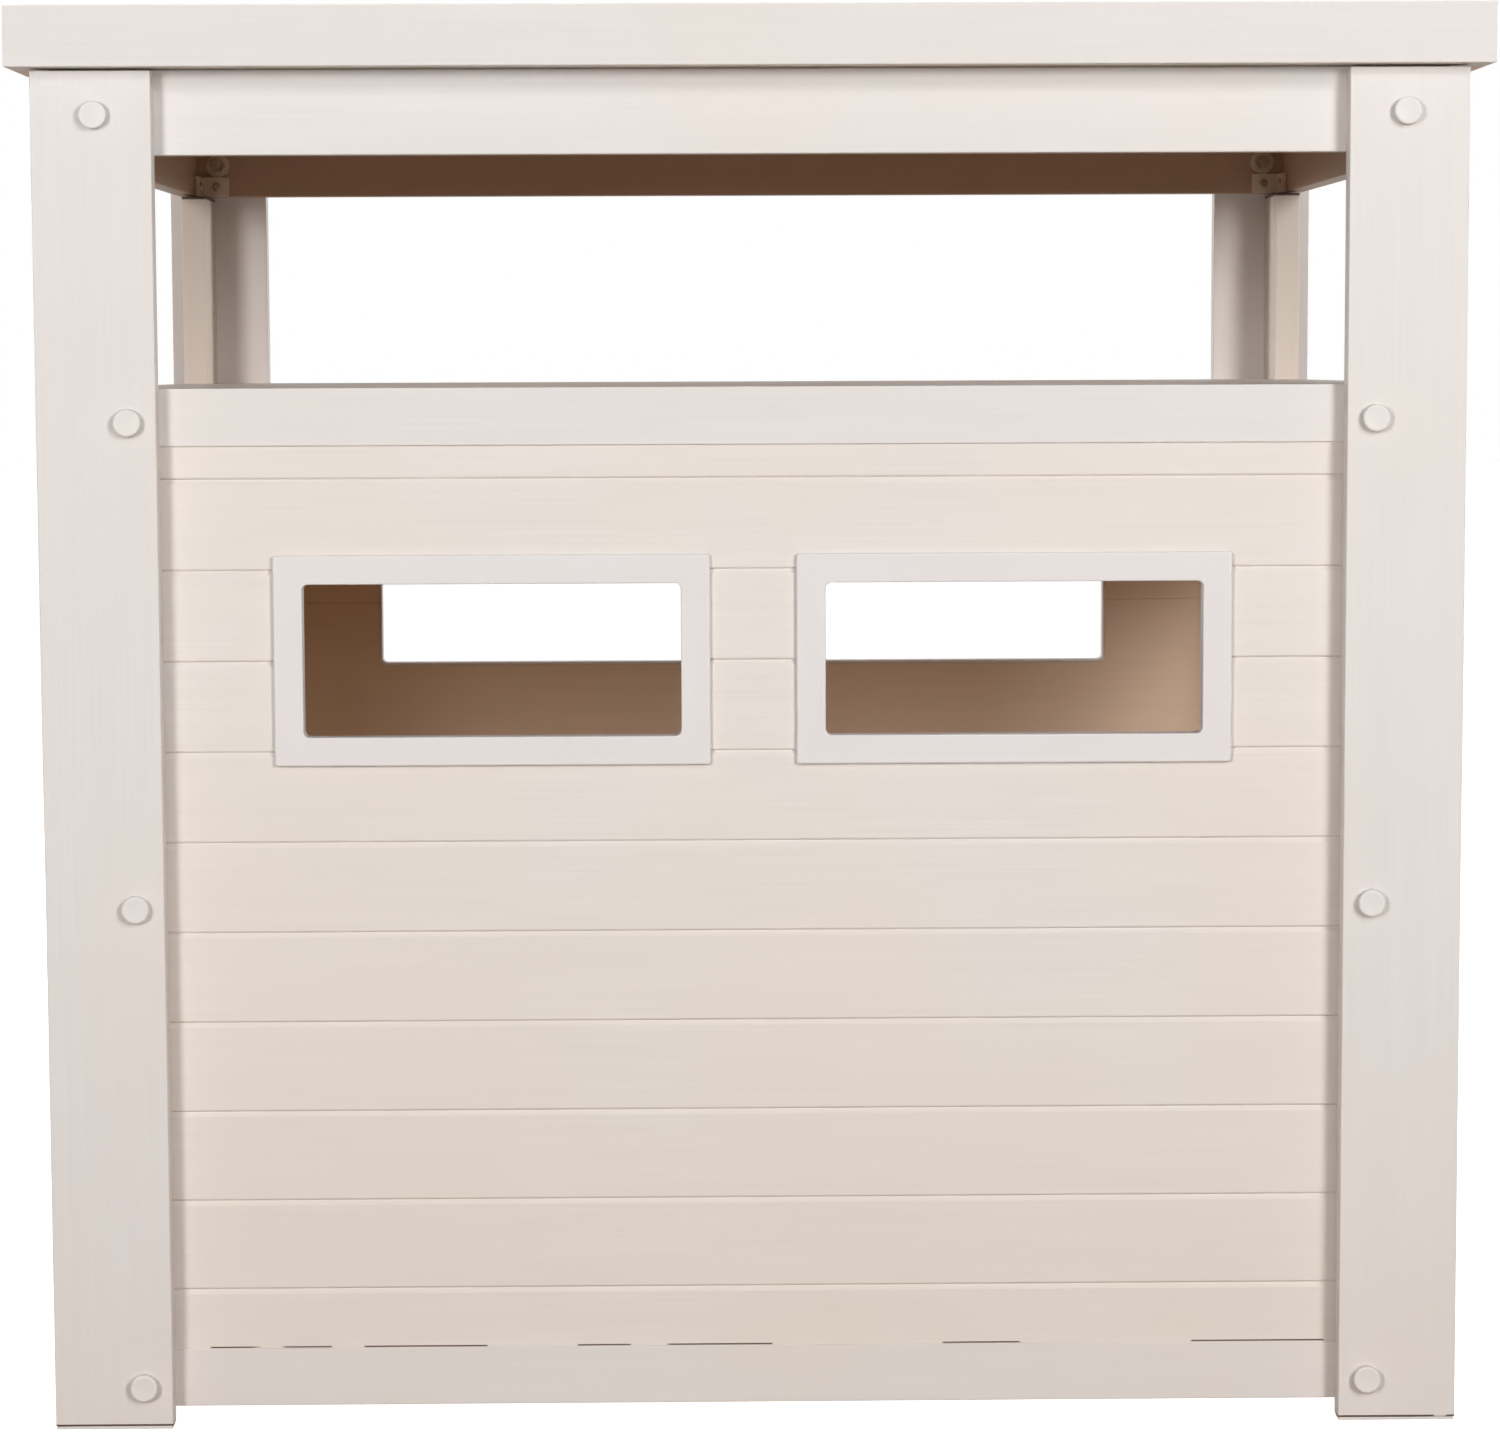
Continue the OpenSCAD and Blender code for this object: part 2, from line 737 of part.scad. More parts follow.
roof_boards();
roof_edge_front();
roof_edge_rear();
roof_edge_left();
roof_edge_right();
roof_battens();
post_front_left();
post_front_right();
post_rear_left();
post_rear_right();
foot_plates();
top_rail_front();
top_rail_rear();
top_rail_left();
top_rail_right();
stud_front_left();
stud_front_right();
stud_rear_left();
stud_rear_right();
deck_rail_front();
deck_rail_rear();
deck_rail_left();
deck_rail_right();
deck_boards();
deck_ledges();
deck_joist();
base_rail_front();
base_rail_rear();
base_rail_left();
base_rail_right();
front_panel_lower();
front_panel_middle();
front_panel_upper();
rear_panel_lower();
rear_panel_middle();
rear_panel_upper();
left_panel_lower();
left_panel_middle();
left_panel_upper();
right_lower_front();
right_lower_rear();
right_middle_front();
right_middle_rear();
right_panel_upper();
door_jamb_front();
door_jamb_rear();
door_lintel();
window_front_left();
window_front_right();
window_rear_left();
window_rear_right();
brackets_top();
brackets_deck();
brackets_base();
bracket_screws();
bolt_caps();
frame_bolts();
frame_washers();
frame_nuts();
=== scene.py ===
"""Looks of a calf hutch of extruded composite boards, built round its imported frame.

The hutch is a sided cabin under an open deck level and a flat roof. Lengths are in metres. The front
faces -Y, +X is to the right and +Z is up. Sections of the boards are given as corners with a rounding,
and are carried along the length of each board.
"""

import json
import logging
import math
from dataclasses import dataclass, field
from enum import Enum
from typing import Callable, Optional

import bpy
import numpy as np
from mathutils import Matrix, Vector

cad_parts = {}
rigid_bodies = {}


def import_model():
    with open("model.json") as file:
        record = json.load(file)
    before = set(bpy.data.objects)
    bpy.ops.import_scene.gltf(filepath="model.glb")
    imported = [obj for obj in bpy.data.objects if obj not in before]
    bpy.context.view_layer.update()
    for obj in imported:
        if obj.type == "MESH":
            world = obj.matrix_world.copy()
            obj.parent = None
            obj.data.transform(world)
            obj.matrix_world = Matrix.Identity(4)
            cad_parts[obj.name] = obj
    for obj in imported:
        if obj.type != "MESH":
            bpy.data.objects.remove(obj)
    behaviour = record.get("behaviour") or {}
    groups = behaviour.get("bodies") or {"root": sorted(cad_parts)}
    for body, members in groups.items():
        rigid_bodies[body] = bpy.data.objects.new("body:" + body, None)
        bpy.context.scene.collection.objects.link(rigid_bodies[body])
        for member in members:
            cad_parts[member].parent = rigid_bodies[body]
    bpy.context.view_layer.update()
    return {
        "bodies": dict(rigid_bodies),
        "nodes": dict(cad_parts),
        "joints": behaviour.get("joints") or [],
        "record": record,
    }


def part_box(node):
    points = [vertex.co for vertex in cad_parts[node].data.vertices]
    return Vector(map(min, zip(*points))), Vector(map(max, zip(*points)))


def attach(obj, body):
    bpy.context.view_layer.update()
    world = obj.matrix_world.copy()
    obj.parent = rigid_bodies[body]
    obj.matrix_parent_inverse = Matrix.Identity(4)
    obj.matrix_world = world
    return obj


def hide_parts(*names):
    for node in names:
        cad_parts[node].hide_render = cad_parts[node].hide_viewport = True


log = logging.getLogger("hutch")

Array = np.ndarray
Colour = tuple[float, float, float]
Point = tuple[float, float, float]

MM = 0.001
HOLD = 0.3 * MM  # distance of the ring that keeps a flat face flat beside a rounding
LIP = 0.4 * MM  # rounding of a cut end
SMOOTH_UP_TO = math.radians(42.0)
SEED = 11

GAP_SHADE_TINT: Colour = (0.16, 0.11, 0.09)  # what the painted shade of a narrow gap does to the colour under it
# Colour of the painted shade low down.
LOW_SHADE_TINT: Colour = (0.94, 0.84, 0.76)
FLECK_SHARE = 0.06
HIGHLIGHT_LIFT = 1.07  # how much lighter the painted highlight on a rounded edge is
BRIGHTEST = 0.95  # no finish reflects more than this
WALL_FADE = (411 * MM, 420.5 * MM)  # over this depth the painted inward shade falls to PAST_WALL
PAST_WALL = 0.15
ROOF_FADE = (1172 * MM, 1180 * MM)  # over this height the painted inward shade falls to nothing
DAY_WHITE: Colour = (0.985, 1.0, 1.0)


class Lay(Enum):
    """Which way a board runs: the places of (length, first, second) section axes in (x, y, z)."""

    ALONG_X = (0, 1, 2)
    ALONG_Y = (1, 0, 2)
    ALONG_Z = (2, 0, 1)


class Side(Enum):
    """Which way a wall looks: the axis across it and the sign of its outer face."""

    FRONT = (1, -1)
    REAR = (1, 1)
    LEFT = (0, -1)
    RIGHT = (0, 1)


# ------------------------------------------------------------------------------- surfaces


@dataclass(frozen=True)
class Outline:
    """Closed section of a board: points in order, and how much each belongs to a rounded edge."""

    points: Array
    edge: Array


@dataclass
class Shape:
    """One closed surface: points, four-sided faces, end faces, grain coordinates and edge share."""

    points: Array
    quads: Array
    ends: list[Array]
    quad_uv: Array
    end_uv: list[Array]
    edge: Array

    def moved(self, order: tuple[int, int, int], sign: Array, offset: Array) -> "Shape":
        """Gives the shape its place: axes reordered, mirrored by sign, then shifted.

        Args:
            order: For each of the shape's own axes, the axis it becomes.
            sign: Plus or minus one for x, y and z.
            offset: Shift along x, y and z, after mirroring.

        Returns:
            The same surface in place, its faces pointing outwards.
        """
        placed = np.empty_like(self.points)
        placed[:, list(order)] = self.points
        placed = placed * np.asarray(sign, float) + np.asarray(offset, float)
        out = Shape(placed, self.quads, self.ends, self.quad_uv, self.end_uv, self.edge)
        return out if out.volume() > 0 else out.turned()

    def volume(self) -> float:
        """Enclosed volume: the sum over triangles of a . (b x c) / 6, negative if inside out."""
        p = self.points
        corners = [(self.quads[:, 0], self.quads[:, 1], self.quads[:, 2])]
        corners.append((self.quads[:, 0], self.quads[:, 2], self.quads[:, 3]))
        for ring in self.ends:
            corners.append((np.full(len(ring) - 2, ring[0]), ring[1:-1], ring[2:]))
        parts = [np.einsum("ij,ij->", p[a], np.cross(p[b], p[c])) for a, b, c in corners]
        return float(sum(parts)) / 6

    def turned(self) -> "Shape":
        """The same surface with every face turned over."""
        return Shape(
            self.points,
            self.quads[:, ::-1],
            [ring[::-1] for ring in self.ends],
            self.quad_uv[:, ::-1],
            [uv[::-1] for uv in self.end_uv],
            self.edge,
        )


def rounded(corners: Array, radii: float | Array, steps: int = 4) -> Outline:
    """Rounds the corners of a section.

    A corner C between neighbours A and B is cut at tangent points T1 and T2, a radius over the tangent
    of half the corner's angle away, and filled with P(s) = (1-s)^2 T1 + 2s(1-s) C + s^2 T2. A point
    just past each tangent point keeps the flat beside it flat.

    Args:
        corners: Corners in order, anticlockwise, as (first, second).
        radii: One radius, or one for each corner.
        steps: Pieces of each rounding.

    Returns:
        The rounded section.
    """
    c = np.asarray(corners, float)
    r = np.broadcast_to(np.asarray(radii, float), len(c))
    to_prev, to_next = np.roll(c, 1, 0) - c, np.roll(c, -1, 0) - c
    len_prev, len_next = np.linalg.norm(to_prev, axis=1), np.linalg.norm(to_next, axis=1)
    a, b = to_prev / len_prev[:, None], to_next / len_next[:, None]
    half = np.arccos(np.clip(np.sum(a * b, axis=1), -0.9999, 0.9999)) / 2
    cut = np.minimum(r / np.tan(half), 0.44 * np.minimum(len_prev, len_next))
    hold = np.minimum(HOLD, 0.05 * np.minimum(len_prev, len_next))
    t1, t2 = c + a * cut[:, None], c + b * cut[:, None]
    s = np.linspace(0, 1, steps + 1)[None, :, None]
    arc = (1 - s) ** 2 * t1[:, None] + 2 * s * (1 - s) * c[:, None] + s**2 * t2[:, None]
    before, after = t1 + a * hold[:, None], t2 + b * hold[:, None]
    points = np.concatenate([before[:, None], arc, after[:, None]], axis=1)
    edge = np.concatenate([[0.0], np.sin(np.linspace(0, math.pi, steps + 1)) * 0.5 + 0.5, [0.0]])
    return Outline(points.reshape(-1, 2), np.tile(edge, len(c)))


def skin(grid: Array, u: Array, v: Array, edge: Array, wrap: bool) -> Shape:
    """Covers a grid of points with faces. Rows close on themselves.

    Args:
        grid: Points, (rows, columns, 3).
        u: Grain coordinate along, (rows, columns + 1), with one more row if wrap.
        v: Grain coordinate across, the same size.
        edge: Edge share, (rows, columns).
        wrap: Whether the last row joins the first; otherwise both end rows get a flat face.

    Returns:
        A closed shape.
    """
    rows, cols = grid.shape[:2]
    index = np.arange(rows * cols).reshape(rows, cols)
    index = np.concatenate([index, index[:, :1]], axis=1)
    if wrap:
        index = np.concatenate([index, index[:1]], axis=0)
    corner = [np.s_[:-1, :-1], np.s_[:-1, 1:], np.s_[1:, 1:], np.s_[1:, :-1]]
    quads = np.stack([index[k] for k in corner], axis=-1).reshape(-1, 4)
    uv = np.stack([np.stack([u[k], v[k]], -1) for k in corner], axis=-2).reshape(-1, 4, 2)
    points = grid.reshape(-1, 3)
    if wrap:
        return Shape(points, quads, [], uv, [], edge.ravel())
    rings = [index[0, :-1][::-1], index[-1, :-1]]
    flat = [points[ring][:, 1:] for ring in rings]
    return Shape(points, quads, rings, uv, flat, edge.ravel())


def around(points: Array) -> Array:
    """Distance along a closed row of points, from 0 at the first to its whole length."""
    step = np.linalg.norm(np.roll(points, -1, 0) - points, axis=1)
    return np.concatenate([[0.0], np.cumsum(step)])


def sweep(
    outline: Outline,
    start: float,
    end: float,
    mitre: float = 0.0,
    lip: float = LIP,
    middles: int = 0,
    bend: Optional[Callable[[Array, Array], Array]] = None,
) -> Shape:
    """Carries a section along a straight line.

    Station s has the section shrunk by i(s) along its corner normals. Over each end i falls from lip
    to 0 on a quarter circle: s = lip(1 - cos t), i = lip(1 - sin t).

    Args:
        outline: The section.
        start: Where the length starts.
        end: Where it ends.
        mitre: How far each end is drawn in, for each unit of the section's first axis.
        lip: Rounding of the ends.
        middles: Extra stations between the ends.
        bend: Takes (stations, section points) and gives the shift of each along the first axis.

    Returns:
        The board, with its length on the first axis.
    """
    t = np.linspace(0, math.pi / 2, 4) if lip > 0 else np.array([0.0])
    near = np.concatenate([[0.0], lip * (1 - np.cos(t)), [lip + HOLD]])
    shrink = np.concatenate([[lip + HOLD], lip * (1 - np.sin(t)), [0.0]])
    share = np.concatenate([[0.0], np.sin(2 * t) * 0.5 + 0.5, [0.0]])
    inner = np.linspace(start, end, middles + 2)[1:-1]
    s = np.concatenate([start + near, inner, end - near[::-1]])
    i = np.concatenate([shrink, np.zeros(middles), shrink[::-1]])
    ring_edge = np.concatenate([share, np.zeros(middles), share[::-1]])
    pull = np.concatenate([np.ones(len(near)), np.zeros(middles), -np.ones(len(near))]) * mitre
    p = outline.points
    step = np.roll(p, -1, 0) - p
    normal = np.stack([step[:, 1], -step[:, 0]], 1) / np.linalg.norm(step, axis=1)[:, None]
    before = np.roll(normal, 1, 0)
    corner = (normal + before) / (1 + np.sum(normal * before, axis=1))[:, None]
    rings = p[None] - corner[None] * i[:, None, None]
    if bend is not None:
        rings = rings + bend(s, p)[:, :, None] * np.array([1.0, 0.0])
    along = s[:, None] + pull[:, None] * rings[:, :, 0]
    grid = np.concatenate([along[:, :, None], rings], axis=2)
    u = np.concatenate([along, along[:, :1]], axis=1)
    v = np.broadcast_to(around(p), u.shape)
    edge = np.maximum(ring_edge[:, None], outline.edge[None, :])
    return skin(grid, u, v, edge, wrap=False)


def spin(profile: Array, run: Array, edge: Array, count: int, wrap: bool) -> Shape:
    """Turns a profile (radius, height) round the height axis: (r cos a, r sin a, h).

    Args:
        profile: Points of the profile.
        run: Distance along it, with one more value if wrap.
        edge: Edge share of each point.
        count: Points round.
        wrap: Whether the profile is closed; otherwise both ends get a flat face.

    Returns:
        A closed shape.
    """
    a = np.linspace(0, 2 * math.pi, count, endpoint=False)
    r, h = profile[:, :1], profile[:, 1:]
    grid = np.stack([r * np.cos(a), r * np.sin(a), h + 0 * a], axis=-1)
    u = np.broadcast_to(np.linspace(0, 2 * math.pi * float(r.max()), count + 1), (len(run), count + 1))
    v = np.broadcast_to(run[:, None], u.shape)
    return skin(grid, u, v, np.broadcast_to(edge[:, None], (len(r), count)), wrap)


def frame_loop(width: float, height: float, radius: Array, reach: Array, steps: int = 8) -> Array:
    """Rounded rectangles round an opening, one for each (reach, radius).

    The loop at reach d has half sides w/2 + d and h/2 + d and quarter circles of its radius at the
    corners; each straight side has points just inside its ends.

    Args:
        width: Width of the opening.
        height: Height of the opening.
        radius: Corner radius of each loop.
        reach: Distance of each loop out from the opening's edge.
        steps: Pieces of each quarter circle.

    Returns:
        Points, (loops, points round, 2).
    """
    a = np.linspace(0, math.pi / 2, steps + 1)[None, :] + np.arange(4)[:, None] * math.pi / 2
    middle = np.array([[1, 1], [-1, 1], [-1, -1], [1, -1]])
    along = np.array([[0, -1], [1, 0], [0, 1], [-1, 0]])
    half = np.stack([width / 2 + reach, height / 2 + reach], -1)
    centre = middle[None] * (half - radius[:, None])[:, None]
    arc = np.stack([np.cos(a), np.sin(a)], -1)[None] * radius[:, None, None, None] + centre[:, :, None]
    first = arc[:, :, :1] + along[None, :, None] * HOLD * 2
    last = arc[:, :, -1:] + np.roll(-along, -1, 0)[None, :, None] * HOLD * 2
    return np.concatenate([first, arc, last], axis=2).reshape(len(reach), -1, 2)


# ------------------------------------------------------------------------------- materials


class NodeTree:
    """Small helper that adds and joins shader nodes."""

    def __init__(self, tree: bpy.types.NodeTree) -> None:
        """Keeps the tree and clears it."""
        self.tree = tree
        tree.nodes.clear()

    def add(self, kind: str, values: Optional[dict] = None, **fields: object) -> bpy.types.Node:
        """Adds a node.

        Args:
            kind: Blender's type name of the node.
            values: Default values of its inputs, by name or number.
            fields: Its other properties.

        Returns:
            The node.
        """
        node = self.tree.nodes.new(kind)
        for name, value in fields.items():
            setattr(node, name, value)
        for name, value in (values or {}).items():
            node.inputs[name].default_value = value
        return node

    def join(self, out: bpy.types.NodeSocket, into: bpy.types.NodeSocket) -> None:
        """Joins an output to an input."""
        self.tree.links.new(out, into)

    def maths(self, operation: str, *parts: object, clamp: bool = False) -> bpy.types.NodeSocket:
        """Adds a Math node.

        Args:
            operation: What it does.
            parts: A socket or a number for each input.
            clamp: Whether the result is kept from 0 to 1.

        Returns:
            Its output.
        """
        node = self.add("ShaderNodeMath", operation=operation, use_clamp=clamp)
        for i, part in enumerate(parts):
            if isinstance(part, bpy.types.NodeSocket):
                self.join(part, node.inputs[i])
            else:
                node.inputs[i].default_value = float(part)
        return node.outputs[0]

    def between(self, value: bpy.types.NodeSocket, low: float, high: float,
                to_low: float, to_high: float) -> bpy.types.NodeSocket:
        """Carries a value from one range to another with a smooth step, and returns the result."""
        node = self.add("ShaderNodeMapRange", interpolation_type="SMOOTHSTEP")
        self.join(value, node.inputs["Value"])
        for name, number in (("From Min", low), ("From Max", high), ("To Min", to_low), ("To Max", to_high)):
            node.inputs[name].default_value = number
        return node.outputs["Result"]

    def mix(self, factor: object, a: object, b: object, blend: str = "MIX") -> bpy.types.NodeSocket:
        """Mixes two colours, each a socket or a colour, and returns the result."""
        node = self.add("ShaderNodeMix", data_type="RGBA", blend_type=blend)
        for name, part in (("Factor", factor), ("A", a), ("B", b)):
            socket = next(s for s in node.inputs if s.name == name and s.enabled)
            if isinstance(part, bpy.types.NodeSocket):
                self.join(part, socket)
            elif name == "Factor":
                socket.default_value = float(part)
            else:
                socket.default_value = (*part, 1.0)
        return next(s for s in node.outputs if s.enabled)

    def split(self, vector: bpy.types.NodeSocket) -> list[bpy.types.NodeSocket]:
        """Takes a vector apart and returns its x, y and z outputs."""
        node = self.add("ShaderNodeSeparateXYZ")
        self.join(vector, node.inputs[0])
        return list(node.outputs)

    def noise(self, place: bpy.types.NodeSocket, scale: object, detail: float,
              roughness: float) -> bpy.types.NodeSocket:
        """Noise at a place, its scale a number or a socket."""
        node = self.add("ShaderNodeTexNoise", {"Detail": detail, "Roughness": roughness})
        self.join(place, node.inputs["Vector"])
        if isinstance(scale, bpy.types.NodeSocket):
            self.join(scale, node.inputs["Scale"])
        else:
            node.inputs["Scale"].default_value = float(scale)
        return node.outputs["Fac"]


def new_material(name: str) -> tuple[bpy.types.Material, NodeTree]:
    """Starts a material and returns it with its emptied tree."""
    material = bpy.data.materials.new(name)
    material.use_nodes = True
    return material, NodeTree(material.node_tree)


class Effects:
    """Shader groups that several finishes share, each built once."""

    def __init__(self) -> None:
        """Builds every group."""
        self.grain = self._grain()
        self.mottle = self._mottle()
        self.edge_highlight = self._edge_highlight()
        self.low_shade = self._low_shade()
        self.inward_shade = self._inward_shade()
        self.seam = self._gap_shade()

    @staticmethod
    def _new(name: str, vectors: list[str], values: dict[str, float], outputs: list[str]) -> tuple:
        """Starts a group.

        Args:
            name: Name of the group.
            vectors: Names of its vector inputs.
            values: Its plain inputs and their defaults.
            outputs: Names of its outputs, all plain values.

        Returns:
            The group, its helper, its input sockets and its output node's sockets.
        """
        group = bpy.data.node_groups.new(name, "ShaderNodeTree")
        for label in vectors:
            group.interface.new_socket(name=label, in_out="INPUT", socket_type="NodeSocketVector")
        for label, default in values.items():
            socket = group.interface.new_socket(name=label, in_out="INPUT", socket_type="NodeSocketFloat")
            socket.default_value = default
        for label in outputs:
            group.interface.new_socket(name=label, in_out="OUTPUT", socket_type="NodeSocketFloat")
        tree = NodeTree(group)
        return group, tree, tree.add("NodeGroupInput").outputs, tree.add("NodeGroupOutput").inputs

    def _grain(self) -> bpy.types.NodeTree:
        """Brushed lines along an extruded board: long, thin streaks in two sizes."""
        group, tree, into, out = self._new(
            "brushed_grain", ["Place"], {"Lines": 320, "Run": 5}, ["Streaks", "Height"])
        along, across, over = tree.split(into["Place"])
        found = []
        for share, detail in ((1.0, 3.0), (0.22, 2.0)):
            place = tree.add("ShaderNodeCombineXYZ")
            lines = tree.maths("MULTIPLY", into["Lines"], share)
            tree.join(tree.maths("MULTIPLY", along, into["Run"]), place.inputs[0])
            tree.join(tree.maths("MULTIPLY", across, lines), place.inputs[1])
            tree.join(tree.maths("ADD", over, 7.0 * share), place.inputs[2])
            found.append(tree.noise(place.outputs[0], 1.0, detail, 0.62))
        both = tree.maths("ADD", tree.maths("MULTIPLY", found[0], 0.6), tree.maths("MULTIPLY", found[1], 0.4))
        tree.join(tree.between(both, 0.3, 0.7, 0.0, 1.0), out["Streaks"])
        tree.join(both, out["Height"])
        return group

    def _mottle(self) -> bpy.types.NodeTree:
        """Slow change of tone over a board, and fine flecks of filler."""
        group, tree, into, out = self._new(
            "tone_and_flecks", ["Place"], {"Patch": 4, "Fleck": 900}, ["Tone", "Flecks"])
        slow = tree.noise(into["Place"], into["Patch"], 2.0, 0.5)
        fine = tree.noise(into["Place"], into["Fleck"], 1.0, 0.5)
        tree.join(tree.between(slow, 0.32, 0.68, 0.0, 1.0), out["Tone"])
        tree.join(tree.between(fine, 0.62, 0.78, 0.0, 1.0), out["Flecks"])
        return group

    def _edge_highlight(self) -> bpy.types.NodeTree:
        """Painted highlight along rounded edges, uneven along them."""
        group, tree, into, out = self._new("painted_edge_highlight", ["Place"], {"Edge": 0, "Amount": 0.5}, ["Mask"])
        uneven = tree.between(tree.noise(into["Place"], 55.0, 3.0, 0.6), 0.35, 0.65, 0.45, 1.0)
        kept = tree.maths("MULTIPLY", into["Edge"], uneven)
        tree.join(tree.maths("MULTIPLY", kept, into["Amount"], clamp=True), out["Mask"])
        return group

    def _low_shade(self) -> bpy.types.NodeTree:
        """Painted shade that grows towards the bottom, more in some places than in others."""
        group, tree, into, out = self._new("low_painted_shade", ["Where"], {"Top": 0.5, "Amount": 0.4}, ["Mask"])
        fall = tree.add("ShaderNodeMapRange", {"To Min": 1.0, "To Max": 0.0}, interpolation_type="SMOOTHSTEP")
        tree.join(tree.split(into["Where"])[2], fall.inputs["Value"])
        tree.join(into["Top"], fall.inputs["From Max"])
        uneven = tree.between(tree.noise(into["Where"], 6.0, 4.0, 0.55), 0.3, 0.7, 0.65, 1.0)
        kept = tree.maths("MULTIPLY", fall.outputs["Result"], uneven)
        tree.join(tree.maths("MULTIPLY", kept, into["Amount"], clamp=True), out["Mask"])
        return group

    def _inward_shade(self) -> bpy.types.NodeTree:
        """Share of a face that looks into the hutch: towards its middle along X or Y, or straight down.

        It stands in for the shade inside. It is less past the walls' outer faces, front and rear, where
        only the corner boards are, and nothing over the roof boards.
        """
        group, tree, into, out = self._new("inward_painted_shade", ["Where", "Facing"], {"Amount": 1}, ["Mask"])
        where, facing = tree.split(into["Where"]), tree.split(into["Facing"])
        found = tree.between(tree.maths("MULTIPLY", facing[2], -1.0), 0.8, 0.95, 0.0, 1.0)
        for axis in (0, 1):
            side = tree.maths("SIGN", where[axis])
            towards = tree.maths("MULTIPLY", tree.maths("MULTIPLY", facing[axis], side), -1.0)
            found = tree.maths("MAXIMUM", found, tree.between(towards, 0.3, 0.8, 0.0, 1.0))
        depth = tree.maths("ABSOLUTE", where[1])
        found = tree.maths("MULTIPLY", found, tree.between(depth, *WALL_FADE, 1.0, PAST_WALL))
        found = tree.maths("MULTIPLY", found, tree.between(where[2], *ROOF_FADE, 1.0, 0.0))
        tree.join(tree.maths("MULTIPLY", found, into["Amount"], clamp=True), out["Mask"])
        return group

    def _gap_shade(self) -> bpy.types.NodeTree:
        """Painted shade of a narrow gap: a dark line at one height, broken up along the board, where two
        parts almost meet.
        """
        group, tree, into, out = self._new(
            "painted_gap_shade", ["Where"], {"Height": 0, "Reach": 0.001, "Broken": 0.5}, ["Mask"])
        where = tree.split(into["Where"])
        off = tree.maths("ABSOLUTE", tree.maths("SUBTRACT", where[2], into["Height"]))
        near = tree.between(tree.maths("DIVIDE", off, into["Reach"]), 0.6, 1.0, 1.0, 0.0)
        flat = tree.add("ShaderNodeCombineXYZ")
        tree.join(where[0], flat.inputs[0])
        tree.join(where[1], flat.inputs[1])
        over = tree.maths("SUBTRACT", tree.noise(flat.outputs[0], 16.0, 1.0, 0.4), into["Broken"])
        kept = tree.maths("MULTIPLY", near, tree.between(over, 0.0, 0.02, 0.0, 1.0))
        tree.join(kept, out["Mask"])
        return group


